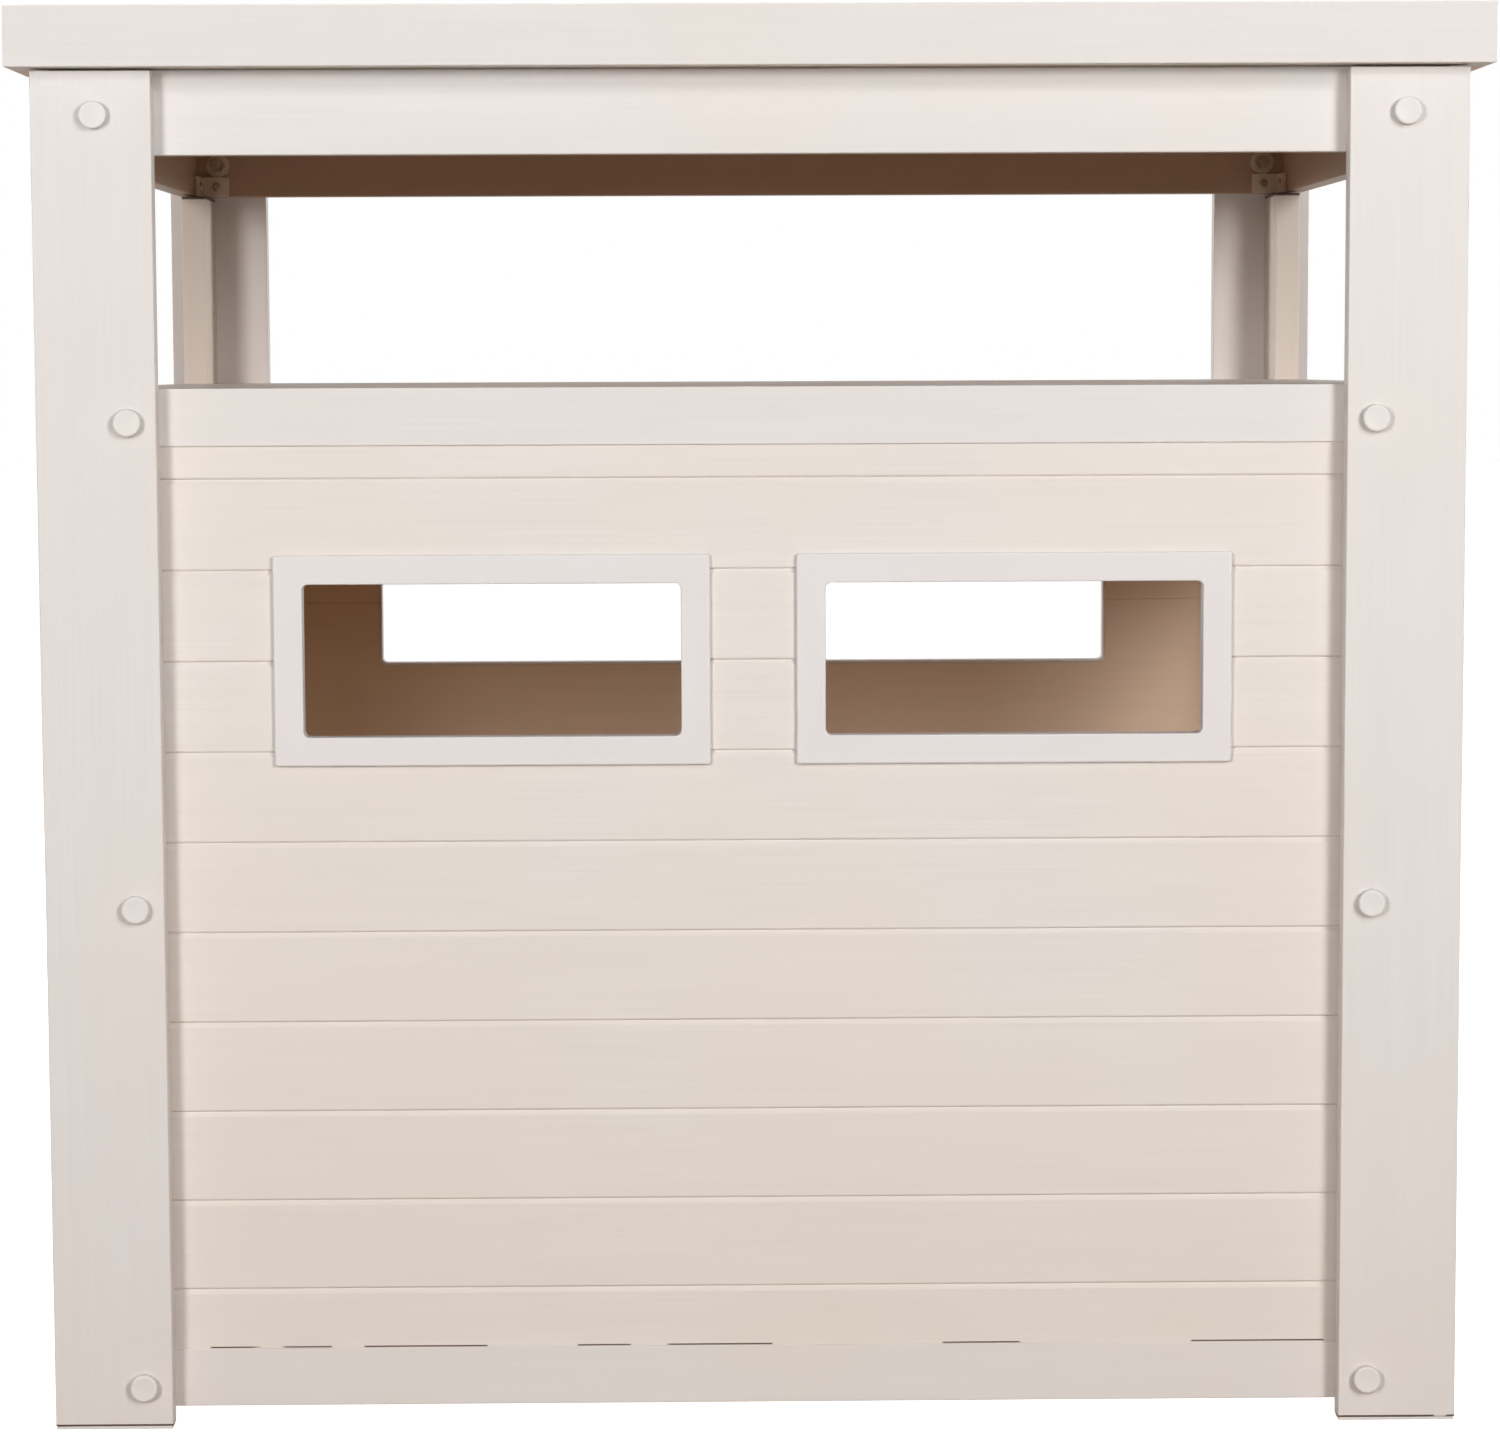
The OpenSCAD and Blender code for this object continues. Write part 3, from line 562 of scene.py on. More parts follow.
@dataclass(frozen=True)
class Composite:
    """Wood-plastic composite or moulded plastic in a cream colour."""

    name: str
    colour: Colour
    roughness: float = 0.5
    streaks: float = 0.028
    lines: float = 320.0
    relief: float = 0.12
    # Strength of the painted highlight on rounded edges, which also makes them smoother.
    edge_highlight: float = 0.45
    # Strength of the painted shade towards the bottom, which also makes it rougher.
    low_shade: float = 0.35
    tone: float = 0.035
    # Strength and colour of the painted shade on faces that look into the hutch.
    inward_shade: float = 1.0
    inward_shade_tint: Colour = (0.95, 0.72, 0.53)
    # Dark lines of painted shade in narrow gaps.
    gap_shades: tuple[tuple[float, float, float], ...] = ()

    def build(self, effects: Effects) -> bpy.types.Material:
        """Makes the material.

        Args:
            effects: The shared shader groups.

        Returns:
            The material, reading the piece's own grain coordinates and edge share.
        """
        material, tree = new_material(self.name)
        grain_map = tree.add("ShaderNodeUVMap", uv_map="grain").outputs[0]
        where = tree.add("ShaderNodeTexCoord").outputs["Object"]
        edge = tree.add("ShaderNodeAttribute", attribute_name="edge").outputs["Fac"]
        facing = tree.add("ShaderNodeNewGeometry").outputs["Normal"]

        def group(made: bpy.types.NodeTree, **values: object) -> bpy.types.Node:
            """Places a shared group with its values, joining those that are sockets."""
            node = tree.add("ShaderNodeGroup", node_tree=made)
            for label, value in values.items():
                if isinstance(value, bpy.types.NodeSocket):
                    tree.join(value, node.inputs[label])
                else:
                    node.inputs[label].default_value = value
            return node

        grain = group(effects.grain, Place=grain_map, Lines=self.lines)
        mottle = group(effects.mottle, Place=where)
        edge_highlight = group(effects.edge_highlight, Edge=edge, Place=where, Amount=self.edge_highlight)
        low_shade = group(effects.low_shade, Where=where, Amount=self.low_shade)
        inward_shade = group(effects.inward_shade, Where=where, Facing=facing, Amount=self.inward_shade)
        base = np.array(self.colour)
        dark = tuple(base * np.array([1 - self.streaks, 1 - 1.15 * self.streaks, 1 - 1.3 * self.streaks]))
        light = tuple(np.minimum(base * (1 + 0.5 * self.streaks), BRIGHTEST))
        colour = tree.mix(grain.outputs["Streaks"], dark, light)
        warm = tuple(base * np.array([1.0, 1 - self.tone, 1 - 2.2 * self.tone]))
        colour = tree.mix(tree.maths("MULTIPLY", mottle.outputs["Tone"], 0.5), colour, warm)
        flecks = tree.maths("MULTIPLY", mottle.outputs["Flecks"], FLECK_SHARE)
        colour = tree.mix(flecks, colour, tuple(base * 0.55))
        # Painted highlight: rounded edges lighter.
        colour = tree.mix(edge_highlight.outputs["Mask"], colour, tuple(np.minimum(base * HIGHLIGHT_LIFT, BRIGHTEST)))
        # Painted shade: darker and warmer towards the bottom.
        colour = tree.mix(low_shade.outputs["Mask"], colour, tuple(base * np.array(LOW_SHADE_TINT)))
        # Painted shade: faces that look into the hutch are tinted darker and browner.
        colour = tree.mix(inward_shade.outputs["Mask"], colour, self.inward_shade_tint, "MULTIPLY")
        # Painted shade: dark lines in narrow gaps.
        for height, reach, broken in self.gap_shades:
            seam = group(effects.seam, Where=where, Height=height, Reach=reach, Broken=broken)
            colour = tree.mix(seam.outputs["Mask"], colour, GAP_SHADE_TINT, "MULTIPLY")
        shader = tree.add("ShaderNodeBsdfPrincipled", {"IOR": 1.46, "Specular IOR Level": 0.42})
        tree.join(colour, shader.inputs["Base Color"])
        rough = tree.maths("MULTIPLY_ADD", grain.outputs["Streaks"], 0.10, self.roughness - 0.05)
        rough = tree.maths("MULTIPLY_ADD", edge_highlight.outputs["Mask"], -0.12, rough)
        rough = tree.maths("MULTIPLY_ADD", low_shade.outputs["Mask"], 0.15, rough)
        tree.join(rough, shader.inputs["Roughness"])
        bump = tree.add("ShaderNodeBump", {"Strength": self.relief, "Distance": 0.0004})
        tree.join(grain.outputs["Height"], bump.inputs["Height"])
        tree.join(bump.outputs[0], shader.inputs["Normal"])
        out = tree.add("ShaderNodeOutputMaterial")
        tree.join(shader.outputs[0], out.inputs["Surface"])
        return material


@dataclass(frozen=True)
class PlatedSteel:
    """Zinc-plated steel of the bolts, nuts and screws, in a darker, browner colour that is painted shade, as
    they sit inside the hutch.
    """

    name: str = "plated_steel"
    # Darker and browner than plated steel: painted shade on fittings inside the hutch.
    colour: Colour = (0.50, 0.42, 0.34)
    roughness: float = 0.34

    def build(self, effects: Effects) -> bpy.types.Material:
        """Makes the material from the shared groups, on Object coordinates."""
        material, tree = new_material(self.name)
        where = tree.add("ShaderNodeTexCoord").outputs["Object"]
        mottle = tree.add("ShaderNodeGroup", node_tree=effects.mottle)
        mottle.inputs["Patch"].default_value = 140.0
        mottle.inputs["Fleck"].default_value = 1600.0
        tree.join(where, mottle.inputs["Place"])
        base = np.array(self.colour)
        colour = tree.mix(mottle.outputs["Tone"], tuple(base * 0.86), tuple(base * 1.1))
        colour = tree.mix(mottle.outputs["Flecks"], colour, tuple(base * 0.6))
        shader = tree.add("ShaderNodeBsdfPrincipled", {"Metallic": 1.0})
        tree.join(colour, shader.inputs["Base Color"])
        rough = tree.maths("MULTIPLY_ADD", mottle.outputs["Tone"], 0.16, self.roughness - 0.06)
        tree.join(rough, shader.inputs["Roughness"])
        bump = tree.add("ShaderNodeBump", {"Strength": 0.15, "Distance": 0.0002})
        tree.join(mottle.outputs["Flecks"], bump.inputs["Height"])
        tree.join(bump.outputs[0], shader.inputs["Normal"])
        out = tree.add("ShaderNodeOutputMaterial")
        tree.join(shader.outputs[0], out.inputs["Surface"])
        return material


class Slot(Enum):
    """Material slots of the record."""

    ROOF = "roof"
    FRAME_BOARD = "frame_board"
    SIDING = "siding"
    WINDOW = "window_frame"
    DECK = "deck"
    INNER_BAR = "inner_bar"
    BRACKET = "bracket"
    CAP = "cap"
    STEEL = "steel"


CREAM: Colour = (0.758, 0.718, 0.703)
MOULDED = {
    "roughness": 0.42, "streaks": 0.012, "lines": 60.0, "relief": 0.03,
    # Second line: strength of the painted edge highlight, of the painted shade low down, and random tone.
    "edge_highlight": 0.6, "low_shade": 0.2, "tone": 0.02,
}
# The inward tints below are painted shade on faces that look into the hutch.
# Each dark line of painted shade in a narrow gap is given by its height, its reach up and down, and how much
# of it is left out.
UPRIGHT = Composite("upright_composite", CREAM, 0.48, inward_shade_tint=(0.95, 0.87, 0.79),
                    gap_shades=((1065 * MM, 2.2 * MM, 0.0),))
FINISHES: dict[Slot, Composite | PlatedSteel] = {
    Slot.ROOF: Composite("roof_composite", CREAM, roughness=0.56),
    Slot.FRAME_BOARD: Composite("board_composite", CREAM, roughness=0.48, inward_shade_tint=(0.64, 0.46, 0.33),
                                gap_shades=((3.6 * MM, 1.1 * MM, 0.35),)),
    Slot.SIDING: Composite("siding_composite", (0.778, 0.722, 0.685), roughness=0.5, streaks=0.035,
                           relief=0.16, inward_shade_tint=(0.93, 0.75, 0.58),
                           gap_shades=((64.3 * MM, 0.8 * MM, 0.56),)),
    Slot.WINDOW: Composite("window_plastic", (0.77, 0.73, 0.73), inward_shade=0.0, **MOULDED),
    Slot.DECK: Composite("deck_composite", (0.775, 0.73, 0.69), roughness=0.52, streaks=0.04, relief=0.2),
    Slot.INNER_BAR: Composite("inner_composite", (0.76, 0.69, 0.62), roughness=0.56, edge_highlight=0.2),
    # Tan, darker than the cream: painted shade on the brackets and washers inside the hutch.
    Slot.BRACKET: Composite("bracket_plastic", (0.70, 0.59, 0.48), inward_shade=0.0, **MOULDED),
    Slot.CAP: Composite("cap_plastic", (0.775, 0.735, 0.72), inward_shade=0.0, **MOULDED),
    Slot.STEEL: PlatedSteel(),
}


# ------------------------------------------------------------------------------- pieces


class Workshop:
    """Turns shapes into named pieces that ride on the frame and carry their finish."""

    def __init__(self, frame: dict) -> None:
        """Keeps the frame and makes every finish.

        Args:
            frame: What the frame's loader returned.
        """
        self.frame = frame
        self.rng = np.random.default_rng(SEED)
        effects = Effects()
        self.materials = {slot: finish.build(effects) for slot, finish in FINISHES.items()}
        self.upright = UPRIGHT.build(effects)

    @staticmethod
    def box(node: str) -> tuple[Array, Array]:
        """Lowest and highest corner of a node, as arrays."""
        low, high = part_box(node)
        return np.array(low), np.array(high)

    def mesh(self, name: str, shapes: list[Shape]) -> bpy.types.Object:
        """Puts shapes into one mesh object at the origin.

        Args:
            name: Name of the object.
            shapes: Closed surfaces, each in place.

        Returns:
            The object, with its grain coordinates and edge share.
        """
        points, faces, uvs, edges, base = [], [], [], [], 0
        for shape in shapes:
            shift = self.rng.uniform(0, 40, 2)
            points.append(shape.points)
            edges.append(shape.edge)
            faces += (shape.quads + base).tolist()
            faces += [(ring + base).tolist() for ring in shape.ends]
            uvs.append(shape.quad_uv.reshape(-1, 2) + shift)
            uvs += [uv + shift for uv in shape.end_uv]
            base += len(shape.points)
        mesh = bpy.data.meshes.new(name)
        mesh.from_pydata(np.concatenate(points).tolist(), [], faces)
        layer = mesh.uv_layers.new(name="grain")
        layer.data.foreach_set("uv", np.concatenate(uvs).astype(np.float32).ravel())
        edge = mesh.attributes.new("edge", "FLOAT", "POINT")
        edge.data.foreach_set("value", np.concatenate(edges).astype(np.float32))
        mesh.polygons.foreach_set("use_smooth", np.ones(len(mesh.polygons), bool))
        mesh.set_sharp_from_angle(angle=SMOOTH_UP_TO)
        mesh.update()
        piece = bpy.data.objects.new(name, mesh)
        bpy.context.scene.collection.objects.link(piece)
        return piece

    def cut(self, piece: bpy.types.Object, cutters: list[Shape]) -> None:
        """Takes closed shapes out of a piece, and leaves the plain result as its mesh.

        Args:
            piece: The piece to cut.
            cutters: Shapes in place; they don't touch each other.
        """
        tool = self.mesh(piece.name + "_cutter", cutters)
        step = piece.modifiers.new("opening", "BOOLEAN")
        step.object, step.operation, step.solver = tool, "DIFFERENCE", "EXACT"
        bpy.context.view_layer.update()
        graph = bpy.context.evaluated_depsgraph_get()
        done = bpy.data.meshes.new_from_object(piece.evaluated_get(graph), depsgraph=graph)
        piece.modifiers.clear()
        old, piece.data = piece.data, done
        done.set_sharp_from_angle(angle=SMOOTH_UP_TO)
        bpy.data.meshes.remove(old)
        bpy.data.objects.remove(tool)

    def fit(self, piece: bpy.types.Object, slot: Slot, *nodes: str) -> bpy.types.Object:
        """Gives a piece its finish, and lets it ride on the frame in place of its nodes.

        Args:
            piece: The piece.
            slot: Its material slot in the record.
            nodes: The nodes it stands for.

        Returns:
            The piece.
        """
        piece.data.materials.clear()
        piece.data.materials.append(self.materials[slot])
        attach(piece, "root")
        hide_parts(*nodes)
        log.info("%s: %d faces", piece.name, len(piece.data.polygons))
        return piece

    def make(self, node: str, shapes: list[Shape], slot: Slot) -> bpy.types.Object:
        """Makes the piece that stands for one node from its shapes."""
        return self.fit(self.mesh(node + "_surface", shapes), slot, node)


def bar(low: Array, high: Array, lay: Lay, radius: float = 1.0 * MM) -> Shape:
    """Rectangular board with rounded edges that fills a box.

    Args:
        low: Lowest corner.
        high: Highest corner.
        lay: Which way it runs.
        radius: Rounding of its long edges.

    Returns:
        The board in place.
    """
    length, first, second = lay.value
    w, h = high[first] - low[first], high[second] - low[second]
    outline = rounded(np.array([[0, 0], [w, 0], [w, h], [0, h]]), radius)
    shape = sweep(outline, 0.0, high[length] - low[length])
    return shape.moved(lay.value, np.ones(3), low)


def section_in_wall(outline: Outline, low: Array, high: Array, side: Side, **how: object) -> Shape:
    """Carries a section along one wall of the hutch.

    The section's first axis runs inwards from the outer face and its second axis runs up.

    Args:
        outline: The section.
        low: Lowest corner of the node it makes.
        high: Highest corner of that node.
        side: Which wall it belongs to.
        how: Other arguments of sweep.

    Returns:
        The board in place.
    """
    across, sign = side.value
    lay = Lay.ALONG_X if across == 1 else Lay.ALONG_Y
    length = lay.value[0]
    shape = sweep(outline, low[length], high[length], **how)
    mirror, offset = np.ones(3), np.zeros(3)
    mirror[across] = -sign
    offset[across] = high[across] if sign > 0 else low[across]
    offset[2] = low[2]
    return shape.moved(lay.value, mirror, offset)


@dataclass
class Roof:
    """Flat roof: boards in mitred edge trims, over battens."""

    trim: float = 22 * MM
    seat: float = 4.8 * MM
    slot_height: float = 15.2 * MM
    lip: float = 3 * MM
    batten: float = 38 * MM
    joint: float = 0.4 * MM
    radius: float = 1.1 * MM
    boards: int = 3

    def build(self, shop: Workshop) -> None:
        """Builds the trims, the boards and the battens."""
        for side in Side:
            node = "roof_edge_" + side.name.lower()
            low, high = shop.box(node)
            h = high[2] - low[2]
            top = h - self.lip
            slot = top - self.slot_height
            corners = np.array([
                [0, 0], [self.trim, 0], [self.trim, slot], [self.seat, slot],
                [self.seat, top], [self.trim, top], [self.trim, h], [0, h],
            ])
            radii = np.array([1.1, 1.1, 0.8, 0.5, 0.5, 0.8, 0.8, 1.4]) * MM
            shape = section_in_wall(rounded(corners, radii), low, high, side, mitre=1.0)
            shop.make(node, [shape], Slot.ROOF)
        low, high = shop.box("roof_boards")
        shop.make("roof_boards", plank_floor(low, high, self.boards, self.joint, self.radius), Slot.ROOF)
        low, high = shop.box("roof_battens")
        centre = np.array([low[1], (low[1] + high[1] - self.batten) / 2, high[1] - self.batten])
        bars = [
            bar(np.array([low[0], y, low[2]]), np.array([high[0], y + self.batten, high[2]]), Lay.ALONG_X)
            for y in centre
        ]
        shop.make("roof_battens", bars, Slot.INNER_BAR)


def plank_floor(low: Array, high: Array, count: int, joint: float, radius: float) -> list[Shape]:
    """Boards side by side along X that fill a box, with a joint between neighbours.

    Args:
        low: Lowest corner of the floor.
        high: Highest corner.
        count: How many boards.
        joint: Width of the joint.
        radius: Rounding of their edges.

    Returns:
        The boards.
    """
    step = (high[1] - low[1]) / count
    out = []
    for i in range(count):
        start = np.array([low[0], low[1] + i * step, low[2]])
        end = np.array([high[0], low[1] + (i + 1) * step - joint, high[2]])
        out.append(bar(start, end, Lay.ALONG_X, radius))
    return out


@dataclass
class CornerBoards:
    """Corner boards with the plates under them."""

    radius: float = 1.3 * MM
    plate: float = 3 * MM
    plate_gap: float = 0.5 * MM
    plate_inset: float = 0.6 * MM
    plate_radius: float = 0.9 * MM
    corners: tuple[str, ...] = ("front_left", "front_right", "rear_left", "rear_right")

    def build(self, shop: Workshop) -> None:
        """Builds the four boards and their plates."""
        plates = []
        for corner in self.corners:
            low, high = shop.box("post_" + corner)
            shop.make("post_" + corner, [bar(low, high, Lay.ALONG_Z, self.radius)], Slot.FRAME_BOARD)
            foot = np.array([low[0], low[1], 0.0])
            top = np.array([high[0], high[1], self.plate - self.plate_gap])
            inset = np.array([1, 1, 0]) * self.plate_inset
            plates.append(bar(foot + inset, top - inset, Lay.ALONG_Z, self.plate_radius))
        shop.make("foot_plates", plates, Slot.FRAME_BOARD)


@dataclass
class Rails:
    """Top rails, deck rails and base rails, and the short uprights on the deck."""

    wall: float = 2.3 * MM
    deck_bed: float = 18.5 * MM
    base_bed: float = 23.5 * MM
    radius: float = 1.2 * MM
    lip_radius: float = 0.9 * MM
    stations: int = 160
    gap_swing: float = 0.8 * MM
    lip_inner_face: tuple[float, float] = (1.0 * MM, 2.6 * MM)
    lip_above: float = 26 * MM
    thickness: float = 18 * MM

    def channel(self, thickness: float, height: float, bed: float, down: bool) -> Outline:
        """Section of a rail with a channel for the panels.

        Args:
            thickness: Thickness of the rail.
            height: Height of the rail.
            bed: Height of the solid part under the channel.
            down: Whether the channel opens downwards.

        Returns:
            The section, outer face at 0 and foot at 0.
        """
        t, w, h = thickness, self.wall, height
        corners = np.array([[0, 0], [t, 0], [t, h], [t - w, h], [t - w, bed], [w, bed], [w, h], [0, h]])
        radii = np.array([self.radius, self.radius, *[self.lip_radius] * 2, 0.4 * MM, 0.4 * MM,
                          self.lip_radius, self.lip_radius])
        if down:
            corners = (corners * [1, -1] + [0, h])[::-1]
            radii = radii[::-1]
        return rounded(corners, radii)

    def wandering(self, side_length: float) -> Callable[[Array, Array], Array]:
        """Shift of the channel's outer lip along the rail, so its gap to the siding opens and closes.

        With w a sum of three sines of the place along the rail, the shift is -g clip(2w - 0.7, 0, 1),
        where g is gap_swing, on the points of the lip's inner face only.

        Args:
            side_length: Length of the rail.

        Returns:
            A function of the stations and the section points.
        """
        def bend(s: Array, points: Array) -> Array:
            """Shift of each point at each station."""
            x = s / side_length * 2 * math.pi
            wave = 0.5 * np.sin(5.3 * x + 0.4) + 0.3 * np.sin(11.7 * x + 1.9) + 0.3 * np.sin(2.1 * x)
            near, far = self.lip_inner_face
            lip = (points[:, 0] > near) & (points[:, 0] < far) & (points[:, 1] > self.lip_above)
            return -np.clip(2 * wave - 0.7, 0, 1)[:, None] * self.gap_swing * lip[None, :]
        return bend

    def build(self, shop: Workshop) -> None:
        """Builds all the rails and the uprights."""
        for side in Side:
            name = side.name.lower()
            low, high = shop.box("top_rail_" + name)
            t, h = self.thickness, high[2] - low[2]
            box = rounded(np.array([[0, 0], [t, 0], [t, h], [0, h]]), self.radius)
            shop.make("top_rail_" + name, [section_in_wall(box, low, high, side)], Slot.FRAME_BOARD)
            low, high = shop.box("deck_rail_" + name)
            section = self.channel(t, high[2] - low[2], self.deck_bed, down=True)
            shop.make("deck_rail_" + name, [section_in_wall(section, low, high, side)], Slot.FRAME_BOARD)
            low, high = shop.box("base_rail_" + name)
            section = self.channel(t, high[2] - low[2], self.base_bed, down=False)
            length = float(max(high[0] - low[0], high[1] - low[1]))
            rail = section_in_wall(section, low, high, side, middles=self.stations,
                                   bend=self.wandering(length))
            shop.make("base_rail_" + name, [rail], Slot.FRAME_BOARD)
        for corner in CornerBoards().corners:
            low, high = shop.box("stud_" + corner)
            stud = shop.make("stud_" + corner, [bar(low, high, Lay.ALONG_Z)], Slot.FRAME_BOARD)
            stud.data.materials[0] = shop.upright


@dataclass
class Siding:
    """Wall panels: planks marked by bevelled grooves, joined tongue in slot."""

    thickness: float = 13 * MM
    plank: float = 76.2 * MM
    depth: float = 2.2 * MM
    up: float = 1.6 * MM
    down: float = 4 * MM
    tongue: float = 4 * MM
    tongue_height: float = 6 * MM
    play: float = 0.2 * MM
    reach: float = 20 * MM
    below: float = 30 * MM
    cut_play: float = 2.8 * MM
    cut_corner: float = 7.8 * MM
    cut_radius: float = 0.2 * MM
    joint_radius: float = 0.35 * MM
    groove_radius: float = 1.6 * MM
    back_radius: float = 1.1 * MM

    def section(self, height: float, tongue: bool, slot: bool) -> Outline:
        """Section of a panel.

        Args:
            height: Height without the tongue.
            tongue: Whether it has a tongue on top.
            slot: Whether it has a slot below.

        Returns:
            The section, outer face at 0 and foot at 0, anticlockwise.
        """
        t, mid, half = self.thickness, self.thickness / 2, self.tongue / 2
        rows = int(math.ceil(height / self.plank - 0.01))
        corners: list[list[float]] = [[self.depth, 0.0]]
        if slot:
            a, b, top = mid - half - self.play, mid + half + self.play, self.tongue_height + self.play
            corners += [[a, 0], [a, top], [b, top], [b, 0]]
        corners += [[t, 0], [t, height]]
        if tongue:
            top = height + self.tongue_height
            corners += [[mid + half, height], [mid + half, top], [mid - half, top], [mid - half, height]]
            corners += [[self.depth, height], [0, height - self.down]]
        else:
            corners += [[0, height]]
        for i in range(rows - 1, 0, -1):
            z = i * self.plank
            corners += [[0, z + self.up], [self.depth, z], [0, z - self.down]]
        corners += [[0, self.up]]
        radii = np.full(len(corners), self.joint_radius)
        flat = np.array(corners)
        radii[flat[:, 0] < self.depth / 2] = self.groove_radius
        radii[(flat[:, 0] == t) & ((flat[:, 1] == 0.0) | (flat[:, 1] == height))] = self.back_radius
        return rounded(flat, radii, steps=4)

    def part(self, low: Array, high: Array, side: Side, level: str) -> Shape:
        """One panel.

        Args:
            low: Lowest corner of its node.
            high: Highest corner.
            side: Its wall.
            level: lower, middle or upper.

        Returns:
            The panel in place.
        """
        upper = level == "upper"
        height = high[2] - low[2] - (0.0 if upper else self.tongue_height)
        outline = self.section(height, tongue=not upper, slot=level != "lower")
        return section_in_wall(outline, low, high, side, lip=0.0)

    def window_cutters(self, shop: Workshop, side: str) -> list[Shape]:
        """Rounded openings through a wall for its two window frames."""
        out = []
        for hand in ("left", "right"):
            low, high = shop.box(f"window_{side}_{hand}")
            border = Windows().border - self.cut_play
            centre, half = (low + high) / 2, (high - low) / 2 - border
            corners = np.array([[-1, -1], [1, -1], [1, 1], [-1, 1]]) * half[[0, 2]]
            outline = rounded(corners, self.cut_corner, steps=6)
            shape = sweep(outline, low[1] - self.reach, high[1] + self.reach, lip=0.0)
            out.append(shape.moved((1, 0, 2), np.ones(3), np.array([centre[0], 0.0, centre[2]])))
        return out

    def build(self, shop: Workshop) -> None:
        """Builds the panels of the four walls."""
        for side in (Side.FRONT, Side.REAR, Side.LEFT):
            for level in ("lower", "middle", "upper"):
                node = f"{side.name.lower()}_panel_{level}"
                piece = shop.mesh(node + "_surface", [self.part(*shop.box(node), side, level)])
                if side is not Side.LEFT and level != "lower":
                    shop.cut(piece, self.window_cutters(shop, side.name.lower()))
                shop.fit(piece, Slot.SIDING, node)
        for level in ("lower", "middle"):
            for end in ("front", "rear"):
                node = f"right_{level}_{end}"
                shop.make(node, [self.part(*shop.box(node), Side.RIGHT, level)], Slot.SIDING)
        node = "right_panel_upper"
        low, high = shop.box(node)
        piece = shop.mesh(node + "_surface", [self.part(low, high, Side.RIGHT, "upper")])
        jamb_low, _ = shop.box("door_jamb_front")
        _, lintel_high = shop.box("door_lintel")
        edge = Doorway().flange - Doorway().web - self.play
        half = -(jamb_low[1] + edge)
        top = lintel_high[2] - edge
        box_low = np.array([low[0] - self.reach, -half, low[2] - self.below])
        box_high = np.array([high[0] + self.reach, half, top])
        shop.cut(piece, [bar(box_low, box_high, Lay.ALONG_X, self.cut_radius)])
        shop.fit(piece, Slot.SIDING, node)


@dataclass
class Deck:
    """Deck boards, the ledges round their edges and the joist under their middle."""

    boards: int = 3
    joint: float = 0.4 * MM
    radius: float = 1.4 * MM
    ledge: float = 15 * MM
    ledge_radius: float = 0.8 * MM
    clear: float = 16 * MM  # from a bolt to the end of the ledge beside it

    def build(self, shop: Workshop) -> None:
        """Builds the boards, the ledges and the joist."""
        low, high = shop.box("deck_boards")
        shop.make("deck_boards", plank_floor(low, high, self.boards, self.joint, self.radius), Slot.DECK)
        joist_low, joist_high = shop.box("deck_joist")
        shop.make("deck_joist", [bar(joist_low, joist_high, Lay.ALONG_Y)], Slot.INNER_BAR)
        low, high = shop.box("deck_ledges")
        bars = []
        for x in (low[0], high[0] - self.ledge):
            bars.append(bar(np.array([x, low[1], low[2]]), np.array([x + self.ledge, high[1], high[2]]),
                            Lay.ALONG_Y, self.ledge_radius))
        start = BoltFittings().lower_x - self.clear
        for y in (low[1], high[1] - self.ledge):
            for a, b in ((-start, joist_low[0]), (joist_high[0], start)):
                bars.append(bar(np.array([a, y, low[2]]), np.array([b, y + self.ledge, high[2]]),
                                Lay.ALONG_X, self.ledge_radius))
        shop.make("deck_ledges", bars, Slot.INNER_BAR)


@dataclass
class Windows:
    """Moulded window frames: a flat border outside and a sleeve through the wall."""

    border: float = 24.4 * MM
    face: float = 5 * MM
    sleeve: float = 2.5 * MM
    corner: float = 5 * MM
    outer_corner: float = 2.4 * MM

    def build(self, shop: Workshop) -> None:
        """Builds the four frames."""
        for wall, sign in (("front", 1), ("rear", -1)):
            for hand in ("left", "right"):
                node = f"window_{wall}_{hand}"
                low, high = shop.box(node)
                centre, size = (low + high) / 2, high - low
                w, h = size[0] - 2 * self.border, size[2] - 2 * self.border
                depth = size[1]
                section = rounded(
                    np.array([[0, 0], [self.border, 0], [self.border, self.face],
                              [self.sleeve, self.face], [self.sleeve, depth], [0, depth]]),
                    np.array([1.3, 2.2, 0.5, 0.5, 0.7, 0.8]) * MM, steps=5)
                reach = section.points[:, 0]
                radius = self.corner + (self.outer_corner - self.corner) * reach / self.border
                loops = frame_loop(w, h, radius, reach)
                grid = np.stack([loops[..., 0], np.repeat(section.points[:, 1:], loops.shape[1], 1),
                                 loops[..., 1]], axis=-1)
                u = np.broadcast_to(around(loops[0]), (len(reach) + 1, loops.shape[1] + 1))
                v = np.broadcast_to(around(section.points)[:, None], u.shape)
                edge = np.repeat(section.edge[:, None], loops.shape[1], 1)
                shape = skin(grid, u, v, edge, wrap=True)
                face_y = low[1] if sign > 0 else high[1]
                offset = np.array([centre[0], face_y, centre[2]])
                placed = shape.moved((0, 1, 2), np.array([1, sign, 1]), offset)
                shop.make(node, [placed], Slot.WINDOW)


